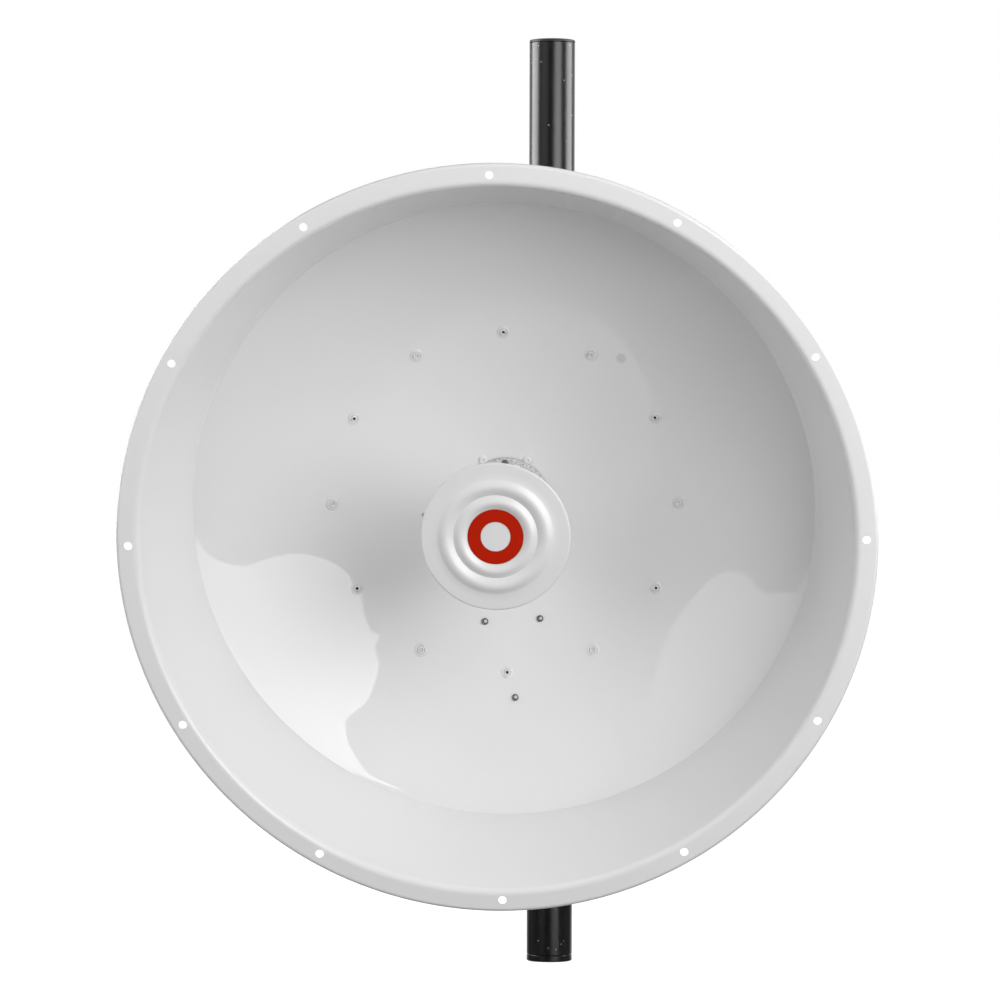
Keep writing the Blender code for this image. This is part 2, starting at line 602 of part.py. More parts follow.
def make_pivot(turn_axis):
    """M10 pivot bolt through both lugs and cheeks, with a spacer ring at each side."""
    centre = (-MAST_OFFSET, PIVOT_Y, 0.0)
    outside = CHEEK_INNER + PLATE + SEAT_GAP
    bolt = [(-outside - M10_HEAD, "hex", M10_HEX), (-outside, "hex", M10_HEX),
            (-outside, "round", PIVOT_RADIUS),
            (outside + WASHER + M10_NUT + THREAD_PAST_NUT, "round", PIVOT_RADIUS)]
    add_object("pivot_bolt", stacked_mesh("pivot_bolt", bolt), zinc_steel, turn_axis, centre)
    top = outside + WASHER
    nut = [(outside, "round", M10_WASHER_RADIUS), (top, "round", M10_WASHER_RADIUS),
           (top, "hex", M10_HEX), (top + M10_NUT, "hex", M10_HEX)]
    mesh = stacked_mesh("pivot_nut", nut, bore=PIVOT_RADIUS + HOLE_PLAY)
    add_object("pivot_nut", mesh, zinc_steel, turn_axis, centre)
    add_spacers("pivot_spacer", PIVOT_RADIUS, M10_WASHER_RADIUS, turn_axis, centre)


def add_spacers(name, rod, radius, turn_axis, centre):
    """Ring between lug and cheek, at each side."""
    low = LUG_INNER + PLATE + SEAT_GAP
    high = CHEEK_INNER - SEAT_GAP
    for side_name, side in (("left", -1), ("right", 1)):
        first, second = sorted((side * low, side * high))
        mesh = stacked_mesh(name + "_" + side_name, [(first, "round", radius), (second, "round", radius)],
                            16, rod + HOLE_PLAY)
        add_object(name + "_" + side_name, mesh, zinc_steel, turn_axis, centre)


def make_lock_bolts(turn_axis):
    """M8 bolts through the lugs and the cheeks' slots, which hold the tilt once tight."""
    centre = (-MAST_OFFSET, PIVOT_Y - LOCK_REACH, 0.0)
    inside = LUG_INNER - SEAT_GAP
    outside = CHEEK_INNER + PLATE + SEAT_GAP
    top = outside + WASHER
    bolt = [(inside - M8_HEAD, "hex", M8_HEX), (inside, "hex", M8_HEX),
            (inside, "round", ROD_RADIUS), (top + M8_NUT + THREAD_PAST_NUT, "round", ROD_RADIUS)]
    nut = [(outside, "round", M8_WASHER_RADIUS), (top, "round", M8_WASHER_RADIUS),
           (top, "hex", M8_HEX), (top + M8_NUT, "hex", M8_HEX)]
    for side_name, side in (("left", -1), ("right", 1)):
        for name, stations, bore in (("lock_bolt_" + side_name, bolt, None),
                                     ("lock_nut_" + side_name, nut, ROD_RADIUS + HOLE_PLAY)):
            mirrored = [(side * along, kind, size) for along, kind, size in stations]
            mesh = stacked_mesh(name, mirrored, bore=bore)
            add_object(name, mesh, zinc_steel, turn_axis, centre)
    add_spacers("lock_spacer", ROD_RADIUS, LOCK_SPACER_RADIUS, turn_axis, centre)


def add_axis(name, location, parent=None):
    axis = bpy.data.objects.new(name, None)
    bpy.context.scene.collection.objects.link(axis)
    axis.location = location
    axis.parent = parent
    return axis


def main():
    clear_scene()
    turn_axis = add_axis("azimuth_axis", (0, 0, PIVOT_Z))
    tilt_axis = add_axis("elevation_axis", (0, PIVOT_Y, 0), turn_axis)
    tilt_axis.rotation_euler.x = DISH_TILT
    dish_origin = (-MAST_OFFSET, -PIVOT_DEPTH, 0.0)

    make_mast()
    make_mast_plate(turn_axis)
    make_lugs(turn_axis)
    make_mast_clamps(turn_axis)
    make_pivot(turn_axis)
    make_lock_bolts(turn_axis)
    make_reflector(tilt_axis, dish_origin)
    make_mounting_pan(tilt_axis, dish_origin)
    make_tilt_bracket(tilt_axis, dish_origin)
    make_tilt_plate_bolts(tilt_axis, dish_origin)
    make_feed(tilt_axis, dish_origin)


main()
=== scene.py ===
import math

import bmesh
import bpy
from mathutils import Matrix, Vector, noise


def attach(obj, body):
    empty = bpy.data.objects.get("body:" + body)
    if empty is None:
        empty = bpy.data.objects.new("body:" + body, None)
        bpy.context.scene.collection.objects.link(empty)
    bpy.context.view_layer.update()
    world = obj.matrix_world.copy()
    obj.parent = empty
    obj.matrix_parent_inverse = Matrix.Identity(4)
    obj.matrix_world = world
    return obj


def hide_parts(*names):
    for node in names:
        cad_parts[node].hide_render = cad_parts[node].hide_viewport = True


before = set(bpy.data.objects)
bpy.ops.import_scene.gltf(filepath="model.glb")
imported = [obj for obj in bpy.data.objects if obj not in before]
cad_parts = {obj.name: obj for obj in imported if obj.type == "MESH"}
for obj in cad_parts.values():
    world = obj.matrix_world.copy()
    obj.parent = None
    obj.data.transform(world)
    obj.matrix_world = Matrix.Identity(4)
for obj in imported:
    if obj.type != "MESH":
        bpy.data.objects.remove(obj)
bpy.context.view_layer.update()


# Camera and dish placing. The dish hangs in front of the mast and looks 11 degrees down. The
# camera stands at mid mast height, 4 m away and a little to the right, with a long lens.
def add_object(name, data):
    """Put an object with the given data in the scene."""
    made = bpy.data.objects.new(name, data)
    bpy.context.scene.collection.objects.link(made)
    return made


dish_centre, dish_tilt = Vector((-0.033, -0.376, 0.391)), math.radians(11.0)
to_dish = Matrix.Translation(dish_centre) @ Matrix.Rotation(dish_tilt, 4, "X")
view_yaw, view_roll = math.radians(2.69), math.radians(-0.2)
view_distance, view_offset, view_rise = 4.026, 0.0034, 0.0368
view_forward = Vector((-math.sin(view_yaw), math.cos(view_yaw), 0.0))
view_right = Vector((math.cos(view_yaw), math.sin(view_yaw), 0.0))
camera_data = bpy.data.cameras.new("camera")
camera_data.lens, camera_data.sensor_width = 170.3, 36.0
camera = add_object("camera", camera_data)
camera.location = (dish_centre - view_distance * view_forward + view_offset * view_right
                   + Vector((0, 0, view_rise)))
camera.rotation_euler = (math.radians(90.0), view_roll, view_yaw)
bpy.context.scene.camera = camera
bpy.context.scene.view_settings.view_transform = "Standard"


# Studio: a pale floor, a white backdrop that only the camera sees, and soft boxes. The two boxes
# at the sides show as the bright stripes on the glossy mast. The others light the surfaces from
# the front and the sides, and two glowing cards show as soft patches on the reflector's floor.
def fill(tree, node, inputs):
    """Set or connect a node's inputs. A node given as a value stands for its first output."""
    for key, value in inputs.items():
        if isinstance(value, bpy.types.Node):
            value = value.outputs[0]
        if isinstance(value, bpy.types.NodeSocket):
            tree.links.new(value, node.inputs[key])
        else:
            node.inputs[key].default_value = value


def add_node(tree, kind, inputs=None, **settings):
    """Add a node, set its properties and fill its inputs."""
    made = tree.nodes.new(kind)
    for key, value in settings.items():
        setattr(made, key, value)
    fill(tree, made, inputs or {})
    return made


def compute(tree, operation, *values):
    """Add a math node."""
    return add_node(tree, "ShaderNodeMath", dict(enumerate(values)), operation=operation)


def stretch(tree, value, start, end, low, high, ease="LINEAR"):
    """Add a node that takes start to low and end to high, and holds the value beyond them."""
    return add_node(tree, "ShaderNodeMapRange", {0: value, 1: start, 2: end, 3: low, 4: high},
                    interpolation_type=ease)


def place_in(tree):
    """Add the object coordinates."""
    return add_node(tree, "ShaderNodeTexCoord").outputs["Object"]


white = (1, 1, 1, 1)
world = bpy.data.worlds.new("studio")
bpy.context.scene.world = world
world.use_nodes = True
sky = world.node_tree
sky.nodes.clear()
direction = add_node(sky, "ShaderNodeTexCoord").outputs["Generated"]
depth = add_node(sky, "ShaderNodeSeparateXYZ", {0: direction}).outputs["Y"]
ray = add_node(sky, "ShaderNodeLightPath").outputs
edge = stretch(sky, ray["Is Diffuse Ray"], 0.0, 1.0, 0.62, 0.10)
level = stretch(sky, depth, edge, 0.95, 0.06, 0.8, "SMOOTHSTEP")
room = add_node(sky, "ShaderNodeBackground", {"Color": white, "Strength": level})
backdrop = add_node(sky, "ShaderNodeBackground", {"Color": white, "Strength": 1.0})
mixed = add_node(sky, "ShaderNodeMixShader", {0: ray["Is Camera Ray"], 1: room, 2: backdrop})
add_node(sky, "ShaderNodeOutputWorld", {"Surface": mixed})


def stage_sheet(name, stuff, points, hidden):
    """Add a flat piece of the studio, hidden from some kinds of ray. Gives its material's tree."""
    mesh = bpy.data.meshes.new(name)
    mesh.from_pydata(points, [], [tuple(range(len(points)))])
    material = bpy.data.materials.new(name + "_" + stuff)
    material.use_nodes = True
    mesh.materials.append(material)
    sheet = add_object(name, mesh)
    for kind in hidden:
        setattr(sheet, "visible_" + kind, False)
    return material.node_tree


floor_reach, floor_level = 90, -0.0005
floor_corners = [(floor_reach * x, floor_reach * y, floor_level)
                 for x, y in ((-1, -1), (1, -1), (1, 1), (-1, 1))]
paper = stage_sheet("studio_floor", "paper", floor_corners, ("diffuse", "glossy", "shadow"))
fill(paper, paper.nodes["Principled BSDF"],
     {"Base Color": (0.9, 0.9, 0.9, 1), "Roughness": 0.9, "Specular IOR Level": 0.1,
      "Emission Color": white, "Emission Strength": 0.9})


def soft_box(name, azimuth, elevation, distance, width, height, radiance, mirrored=False):
    """A soft light that faces the dish from a compass direction in degrees. It shows only as a
    reflection where it's mirrored, and otherwise only lights the surfaces."""
    across, up = math.radians(azimuth), math.radians(elevation)
    aim = Vector((math.sin(across) * math.cos(up), -math.cos(across) * math.cos(up), math.sin(up)))
    light = bpy.data.lights.new(name, "AREA")
    light.shape = "RECTANGLE"
    light.size, light.size_y = width, height
    light.energy = radiance * math.pi * width * height
    box = add_object(name, light)
    box.location = Vector((0.0, -0.2, 0.45)) + distance * aim
    box.rotation_euler = aim.to_track_quat("Z", "Y").to_euler()
    box.visible_camera = False
    box.visible_diffuse, box.visible_glossy = not mirrored, mirrored


soft_box("side_box_left", -103, 22, 1.5, 1.15, 1.5, 6.4, mirrored=True)
soft_box("side_box_right", 106, 22, 1.5, 1.0, 1.5, 5.8, mirrored=True)
soft_box("right_box", 35, 10, 2.2, 1.5, 1.5, 3.6)
soft_box("right_wall", 55, 20, 2.2, 2.4, 2.4, 1.5)
soft_box("left_box", -35, 10, 2.2, 1.2, 1.2, 2.0)
soft_box("far_left_box", -77, 10, 2.2, 1.2, 1.2, 2.3)
soft_box("low_left_box", -35, -25, 2.2, 1.2, 1.2, 0.88)
soft_box("high_front_box", 0, 45, 2.2, 1.2, 1.2, 0.78)
soft_box("low_front_box", 0, -25, 2.2, 1.2, 1.2, 0.28)
card_aim, card_distance, card_brightest = Vector((-0.033, -0.25, 0.0)), 1.6, 5.0
right_card_turn, left_card_turn = 33.0, -38.0
vertex_depth, floor_curve, photo_size = 0.196, 1.2736, 1000


def card_frame(turn):
    """Middle, normal and sideways direction of a card, from its compass direction in degrees."""
    turn = math.radians(turn)
    normal = Vector((math.sin(turn), -math.cos(turn), 0.0))
    return card_aim + card_distance * normal, normal, Vector((math.cos(turn), math.sin(turn), 0.0))


def card_edge(turn, spots):
    """Points on a card whose reflections in the reflector's floor are seen at the given spots of
    the photo, in pixels. The camera's slight roll is left out."""
    middle, normal, side = card_frame(turn)
    eye, tilt = to_dish.inverted() @ camera.location, to_dish.to_3x3()
    focal = photo_size * camera_data.lens / camera_data.sensor_width
    points = []
    for x, y in spots:
        across, up = (x + 0.5 - photo_size / 2) / focal, (photo_size / 2 - y - 0.5) / focal
        ray = tilt.inverted() @ (view_forward + across * view_right + Vector((0, 0, up)))
        # The ray meets the floor at t times its length, where a * t * t + b * t + c is zero.
        a = (ray.x ** 2 + ray.z ** 2) / floor_curve
        b = ray.y + 2 * (eye.x * ray.x + eye.z * ray.z) / floor_curve
        c = eye.y - vertex_depth + (eye.x ** 2 + eye.z ** 2) / floor_curve
        spot = eye - ray * (2 * c / (b + math.sqrt(b * b - 4 * a * c)))
        slope = Vector((2 * spot.x / floor_curve, 1.0, 2 * spot.z / floor_curve)).normalized()
        start, out = to_dish @ spot, tilt @ ray.reflect(slope)
        reach = start + out * ((middle - start).dot(normal) / out.dot(normal)) - middle
        points.append((reach.dot(side), reach.z))
    return points


def glowing_card(name, turn, outline, tones):
    """An upright glowing card in front of the dish, seen only as a reflection. Its radiance goes
    with height through the given (height, radiance) pairs."""
    middle, _, side = card_frame(turn)
    points = [middle + side * across + Vector((0, 0, height)) for across, height in outline]
    glow = stage_sheet(name, "light", points, ("camera", "diffuse", "shadow"))
    glow.nodes.clear()
    height = add_node(glow, "ShaderNodeSeparateXYZ", {0: place_in(glow)}).outputs["Z"]
    low, high = tones[0][0], tones[-1][0]
    shade = add_node(glow, "ShaderNodeValToRGB", {0: stretch(glow, height, low, high, 0.0, 1.0)})
    ramp = shade.color_ramp.elements
    ramp[1].position = 1.0
    for level, _ in tones[1:-1]:
        ramp.new((level - low) / (high - low))
    for step, (_, radiance) in zip(ramp, tones):
        step.color = (*[radiance / card_brightest] * 3, 1)
    strength = compute(glow, "MULTIPLY", shade, card_brightest)
    lit = add_node(glow, "ShaderNodeEmission", {"Color": white, "Strength": strength})
    add_node(glow, "ShaderNodeOutputMaterial", {"Surface": lit})


def mm(*points, start=(0.0, 0.0)):
    """Points of an outline, given in millimetres from a start point in metres."""
    return [(start[0] + x / 1000, start[1] + y / 1000) for x, y in points]


left_patch = ((210.6, 557.2), (221.7, 562.8), (232.8, 565.8), (246.7, 566.4), (274.4, 556.1),
              (291.1, 553.9), (307.8, 554.4), (324.4, 558.9), (338.3, 566.4), (348.1, 574.7),
              (352.2, 584.4), (361.9, 592.8), (363.3, 606.7), (365.6, 620.6), (369.7, 629.4),
              (380.0, 634.4), (377.8, 640.6), (374.4, 647.8), (376.7, 656.7), (378.9, 666.4),
              (377.2, 676.1), (371.7, 695.6), (365.6, 704.4), (357.8, 710.0), (349.4, 715.6),
              (346.1, 721.9), (348.9, 742.8), (360.6, 762.2), (368.9, 772.8), (380.0, 782.2))
right_outline = (mm((660, -60), (0, -75)) + card_edge(right_card_turn, left_patch)
                 + mm((-700, 750), (-620, 860), (-350, 900), (-350, 1600), (660, 1600)))
glowing_card("right_card", right_card_turn, right_outline,
             [(-0.1, 2.7), (0.25, 3.2), (0.5, 4.7), (0.8, 4.2), (1.0, 4.2), (1.7, 1.5)])
right_patch = ((680, 610), (690, 600), (700, 588), (710, 578), (720, 571), (730, 569.6),
               (742, 572), (752, 580), (760, 588), (768, 592), (784, 591))
left_outline = (mm((520, 400), (470, 250)) + card_edge(left_card_turn, right_patch)
                + mm((-600, 60), (-600, 1500), (520, 1500)))
glowing_card("left_card", left_card_turn, left_outline,
             [(0.0, 1.6), (0.12, 1.5), (0.5, 0.45), (1.5, 0.9)])


# Reflector: one spun aluminium sheet, 650 mm across. A shallow parabolic floor turns at a crease
# into a steep wall and a flat, drilled rim. It is powder coated white, glossy inside and matt on
# the back.
def blend(tree, share, low, high, **settings):
    """Mix two colours."""
    return add_node(tree, "ShaderNodeMix", {0: share, 6: low, 7: high}, data_type="RGBA",
                    **settings).outputs[2]


def clouds(tree, scale, detail=2.0):
    """Add a noise over the object coordinates."""
    return add_node(tree, "ShaderNodeTexNoise",
                    {"Vector": place_in(tree), "Scale": scale, "Detail": detail})


def fill_shader(material, inputs):
    """Set or connect inputs of a material's shader."""
    fill(material.node_tree, material.node_tree.nodes["Principled BSDF"], inputs)


def source_of(material, label):
    """The socket that an input of a material's shader is connected to."""
    return material.node_tree.nodes["Principled BSDF"].inputs[label].links[0].from_socket


def surface(name, light, dark, patch, grain, grain_depth, rough, metallic=0.0, detail=3.0):
    """A finish with slow changes between two colours, or two greys given as a number each, a fine
    grain, and a roughness that follows the tone."""
    light, dark = [(tone,) * 3 if isinstance(tone, float) else tone for tone in (light, dark)]
    material = bpy.data.materials.new(name)
    material.use_nodes = True
    tree = material.node_tree
    tone = clouds(tree, patch, detail)
    fill_shader(material, {
        "Base Color": blend(tree, tone, (*dark, 1), (*light, 1)),
        "Normal": add_node(tree, "ShaderNodeBump",
                           {"Height": clouds(tree, grain), "Distance": grain_depth}),
        "Roughness": stretch(tree, tone, 0.3, 0.7, *rough), "Metallic": metallic})
    return material


def tint(material, level):
    """Multiply a finish's colour by a level that changes over the surface."""
    base = source_of(material, "Base Color")
    tinted = blend(material.node_tree, 1.0, base, level, blend_type="MULTIPLY")
    fill_shader(material, {"Base Color": tinted})


def add_piece(name, mesh, material, body, slot, *replaced):
    """Put a finished mesh in the scene, on its body, in place of the CAD nodes it stands for."""
    mesh.name = name
    mesh.materials.clear()
    mesh.materials.append(material)
    piece = add_object(name, mesh)
    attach(piece, body)
    if replaced:
        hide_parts(*replaced)


def smoothed(mesh, sharp=32.0):
    """Shade a mesh smooth, but for the edges sharper than an angle in degrees."""
    mesh.shade_smooth()
    mesh.set_sharp_from_angle(angle=math.radians(sharp))
    return mesh


def close_mesh(mesh, sharp=32.0):
    """Merge doubled points, point the faces outwards and shade the mesh smooth."""
    work = bmesh.new()
    work.from_mesh(mesh)
    bmesh.ops.remove_doubles(work, verts=work.verts, dist=1e-6)
    bmesh.ops.recalc_face_normals(work, faces=work.faces)
    work.to_mesh(mesh)
    work.free()
    return smoothed(mesh, sharp)


def turned(outline, sides=96, place=to_dish, shape=None, sharp=32.0):
    """Turn a closed outline of (radius, along) points round the Y axis, then place it."""
    points, rows = [], []
    for radius, along in outline:
        if radius < 1e-6:
            rows.append([len(points)] * sides)
            points.append(Vector((0.0, along, 0.0)))
            continue
        rows.append([len(points) + i for i in range(sides)])
        for i in range(sides):
            turn = 2 * math.pi * i / sides
            points.append(Vector((radius * math.cos(turn), along, radius * math.sin(turn))))
    faces = []
    for row, after in zip(rows, rows[1:] + rows[:1]):
        for i in range(sides):
            j = (i + 1) % sides
            face = list(dict.fromkeys((row[i], row[j], after[j], after[i])))
            if len(face) > 2:
                faces.append(face)
    mesh = bpy.data.meshes.new("turned")
    mesh.from_pydata([shape(point) for point in points] if shape else points, [], faces)
    mesh.transform(place)
    return close_mesh(mesh, sharp)


def shift(x=0.0, y=0.0, z=0.0):
    """A move along the axes."""
    return Matrix.Translation((x, y, z))


def plain_mesh(host):
    """The mesh that an object gives with its modifiers. The object is then removed."""
    bpy.context.view_layer.update()
    ready = host.evaluated_get(bpy.context.evaluated_depsgraph_get())
    mesh = bpy.data.meshes.new_from_object(ready)
    bpy.data.objects.remove(host, do_unlink=True)
    return mesh


def drilled(mesh, drill):
    """Cut one mesh out of another."""
    blank, bit = add_object("blank", mesh), add_object("bit", drill)
    cut = blank.modifiers.new("cut", "BOOLEAN")
    cut.operation, cut.solver, cut.object = "DIFFERENCE", "EXACT", bit
    result = plain_mesh(blank)
    bpy.data.objects.remove(bit, do_unlink=True)
    return result


def joined(meshes):
    """Several closed meshes as one."""
    work = bmesh.new()
    for mesh in meshes:
        work.from_mesh(mesh)
    whole = bpy.data.meshes.new("joined")
    work.to_mesh(whole)
    work.free()
    return smoothed(whole)


def sheet_line(front, thickness):
    """Close a sheet's outline: its front line, and that line set back by the thickness."""
    back = []
    for i, (radius, along) in enumerate(front):
        before, after = front[max(i - 1, 0)], front[min(i + 1, len(front) - 1)]
        run = Vector((after[0] - before[0], after[1] - before[1])).normalized()
        back.append((radius - run.y * thickness, along + run.x * thickness))
    return front + back[::-1]


def spaced(start, end, steps):
    """Numbers at even steps from start to end, with both."""
    return [start + (end - start) * i / steps for i in range(steps + 1)]


def between(start, end, steps):
    """Points at even steps on the straight line from start to end, with both."""
    return list(zip(spaced(start[0], end[0], steps), spaced(start[1], end[1], steps)))


reflector_sheet = 0.002
floor_inner, floor_outer, crease, wall_top = 0.0222, 0.2736, (0.2739, 0.1371), (0.3046, 0.0060)
hole_count, hole_circle, first_hole = 12, 0.3148, math.radians(0.7)


def floor_depth(radius):
    """Depth of the reflector's floor behind the rim plane."""
    return vertex_depth - radius ** 2 / floor_curve


def sheet_waves(point):
    """The spun sheet isn't perfectly true: slow waves less than a tenth of a millimetre deep."""
    radius = math.hypot(point.x, point.z)
    swell = noise.noise(Vector((point.x * 11, 3.7, point.z * 11)))
    fade = max(0.0, min(1.0, (radius - 0.03) / 0.03)) * max(0.0, min(1.0, (0.30 - radius) / 0.03))
    return point + Vector((0, 0.00006 * swell * fade, 0))


reflector_line = [(radius, floor_depth(radius)) for radius in spaced(floor_inner, floor_outer, 46)]
reflector_line += mm((-0.05, -0.05), start=crease) + between(crease, wall_top, 15)[1:]
reflector_line += mm((305, 4.1), (305.9, 2.1), (307.3, 0.8), (309, 0.2), (310.6, 0), (311.2, 0),
                     (321.6, 0), (322.2, 0), (323.4, 0.3), (324.3, 1), (324.8, 1.8), (325, 2.8))
reflector_mesh = turned(sheet_line(reflector_line, reflector_sheet), 288, Matrix.Identity(4),
                        sheet_waves)
rim_drills = []
for i in range(hole_count):
    turn = math.pi / 2 + first_hole + 2 * math.pi * i / hole_count
    spot = shift(hole_circle * math.cos(turn), 0, hole_circle * math.sin(turn))
    rim_drills.append(turned(mm((0, -4), (3.65, -4), (3.65, 6), (0, 6)), 32, spot))
reflector_mesh = drilled(reflector_mesh, joined(rim_drills))
back_marks = reflector_mesh.attributes.new("outside", "FLOAT", "POINT")
for point, mark in zip(reflector_mesh.vertices, back_marks.data):
    mark.value = float(point.normal.y > 0.1)
reflector_mesh.transform(to_dish)

dish_paint = surface("white_powder_coat", 0.80, 0.775, 5.0, 700.0, 0.000001, (0.008, 0.016))
paint = dish_paint.node_tree
on_back = add_node(paint, "ShaderNodeAttribute", attribute_name="outside").outputs["Fac"]
duller = compute(paint, "MULTIPLY_ADD", on_back, 0.50, source_of(dish_paint, "Roughness"))
fill_shader(dish_paint, {"Roughness": duller})
# Two round spots where the paint is darker: a faint one on the upper right of the floor, and a
# small, darker one at the cap's left edge.
for across, up, inner, outer, tone in ((0.1030, 0.1312, 0.0030, 0.0058, 0.82),
                                       (-0.0735, -0.0136, 0.0012, 0.0026, 0.40)):
    dark_spot = to_dish @ Vector((across, floor_depth(math.hypot(across, up)), up))
    away = add_node(paint, "ShaderNodeVectorMath", {0: place_in(paint), 1: dark_spot},
                    operation="DISTANCE").outputs["Value"]
    tint(dish_paint, stretch(paint, away, inner, outer, tone, 1.0, "SMOOTHSTEP"))
add_piece("reflector_sheet", smoothed(reflector_mesh, 25.0), dish_paint, "dish", "dish_paint",
          "reflector")


# Blind rivets: twelve aluminium rivets hold the reflector on the pan behind it. Each has a
# stepped, domed head round the broken stem, and a swollen tail behind the pan. Every second stem
# broke deep, and the steel stem down its hole is coloured near black: dark steel, and painted
# shade for the dark of the deep hole.
def grown(inputs, build, start=None):
    """Run a Geometry Nodes tree and give its plain mesh. The inputs hold a kind of socket and a
    value by label, and build adds the nodes that make the shape, from the start mesh if given."""
    tree = bpy.data.node_groups.new("grown", "GeometryNodeTree")
    tree.interface.new_socket("Geometry", in_out="INPUT", socket_type="NodeSocketGeometry")
    sockets = {}
    for label, (kind, _) in inputs.items():
        made = tree.interface.new_socket(label, in_out="INPUT", socket_type="NodeSocket" + kind)
        sockets[label] = made.identifier
    tree.interface.new_socket("Geometry", in_out="OUTPUT", socket_type="NodeSocketGeometry")
    given = add_node(tree, "NodeGroupInput").outputs
    real = add_node(tree, "GeometryNodeRealizeInstances", {0: build(tree, given)})
    coated = add_node(tree, "GeometryNodeSetMaterial",
                      {"Geometry": real, "Material": given["Material"]})
    add_node(tree, "NodeGroupOutput", {0: coated})
    host = add_object("grown", start or bpy.data.meshes.new("empty"))
    grower = host.modifiers.new("grower", "NODES")
    grower.node_group = tree
    for label, (_, value) in inputs.items():
        grower[sockets[label]] = value
    return plain_mesh(host)


def ring_of(master, count, first_turn, material):
    """Repeat a mesh round the dish axis."""
    def build(tree, given):
        points = add_node(tree, "GeometryNodeMeshLine",
                          {"Count": given["Count"], "Offset": (0, 0, 0)})
        step = compute(tree, "DIVIDE", -2 * math.pi, given["Count"])
        turn = compute(tree, "MULTIPLY", add_node(tree, "GeometryNodeInputIndex"), step)
        angle = compute(tree, "SUBTRACT", turn, given["First turn"])
        spun = add_node(tree, "ShaderNodeCombineXYZ", {"Y": angle})
        one = add_node(tree, "GeometryNodeGeometryToInstance", {0: given["Geometry"]})
        return add_node(tree, "GeometryNodeInstanceOnPoints",
                        {"Points": points, "Instance": one, "Rotation": spun})

    mesh = grown({"Count": ("Int", count), "First turn": ("Float", first_turn),
                  "Material": ("Material", material)}, build, master)
    mesh.transform(to_dish)
    return smoothed(mesh)


def on_floor(radius):
    """Place at one radius on the reflector's floor, square to the sheet."""
    lean = math.atan(2 * radius / floor_curve)
    return shift(radius, floor_depth(radius)) @ Matrix.Rotation(-lean, 4, "Z")


rivet_radius, rivet_turn = 0.154, math.radians(90.35)
rivet_body = mm((1.5, -2), (2, -2.5), (2.5, -2.45), (2.78, -2), (2.9, -0.8), (3.05, -0.45),
                (3.25, -0.8), (3.6, -1.3), (4.2, -1.4), (4.8, -1.15), (5.1, -0.7), (5.24, 0.1),
                (2.4, 0.1), (2.4, 5), (3.5, 5.2), (3.75, 6), (3.5, 7.2), (2.7, 8), (2.3, 8.8),
                (1.8, 9.5), (0, 9.7))
wide_body = [(radius * 1.1, along) if along < 0.0002 else (radius, along)
             for radius, along in rivet_body]
deep_stem = mm((0, 0.6), (1.25, 0.5), (1.3, -1.5))
flush_stem = mm((0, -1.65), (0.6, -1.68), (0.9, -1.5), (1.05, -0.6), (1.35, -0.6))
rivet_paint = surface("rivet_paint", 0.80, 0.76, 60.0, 900.0, 0.00001, (0.16, 0.26))
for label, line, first in (("deep", deep_stem + rivet_body, 0.0),
                           ("flush", flush_stem + wide_body, math.pi / 6)):
    rivet = turned(line, 40, on_floor(rivet_radius))
    add_piece("blind_rivets_" + label, ring_of(rivet, 6, rivet_turn + first, rivet_paint),
              rivet_paint, "dish", "dish_paint")
# Near-black stems: dark steel, coloured darker still as painted shade for the deep holes.
stem_steel_and_hole_shade = surface("stem_steel_and_hole_shade", 0.04, 0.015, 500.0, 2500.0, 0.00002, (0.5, 0.7), metallic=0.5)
stem_end = turned(mm((0, -0.6), (1.2, -0.6), (1.2, 0.4), (0, 0.4)), 16, on_floor(rivet_radius))
add_piece("rivet_stems", ring_of(stem_end, 6, rivet_turn, stem_steel_and_hole_shade), stem_steel_and_hole_shade, "dish",
          "zinc_steel")


# Feed rivets: three pairs of small rivets round the feed flange, painted over with the reflector.
# The pair above the cap shows from the front.
feed_rivet_radius = 0.0411
feed_rivet_line = mm((0, -1), (0.6, -1.1), (1, -1.9), (1.5, -2.5), (2.4, -2.6), (3.2, -2.3),
                     (3.9, -1.7), (4.3, -0.8), (4.4, 0.1), (1.8, 0.1), (1.8, 3), (2.6, 3.2),
                     (2.7, 4.4), (1.5, 5.2), (0, 5.4))
feed_rivet = turned(feed_rivet_line, 32, on_floor(feed_rivet_radius))
feed_rivets = joined([ring_of(feed_rivet, 3, math.radians(turn), rivet_paint)
                      for turn in (62.0, 119.4)])
add_piece("feed_rivets", feed_rivets, rivet_paint, "dish", "dish_paint")


# Floor screws: three blackened steel screws with domed heads go through the reflector's floor. A
# small bright patch beside each socket is a painted glint. Each has a washer and a nut behind the
# sheet or the pan.
def hexagon(flats, within=1.0):
    """A shape that trims round points to a hexagon, measured across its flats."""
    def trim(point):
        radius, turn = math.hypot(point.x, point.z), math.atan2(point.z, point.x)
        limit = 0.5 * flats / math.cos((turn + math.pi / 6) % (math.pi / 3) - math.pi / 6)
        if radius <= limit or radius > within:
            return point
        return Vector((point.x * limit / radius, point.y, point.z * limit / radius))
    return trim


def nut_line(flats, low, high, bore):
    """Outline of a hexagon nut between two points along its axis."""
    corner, flat = 0.5775 * flats, 0.475 * flats
    rise = math.copysign(0.0008, high - low)
    return [(bore + 0.0005, low), (flat, low), (corner, low + rise), (corner, high - rise),
            (flat, high), (bore + 0.0005, high), (bore, high - rise), (bore, low + rise)]


def washer_line(outer, bore, low, high):
    """Outline of a flat washer or a ring with its edges broken."""
    edge = math.copysign(0.00025, high - low)
    return [(bore, low), (outer - 0.00025, low), (outer, low + edge), (outer, high - edge),
            (outer - 0.00025, high), (bore, high)]


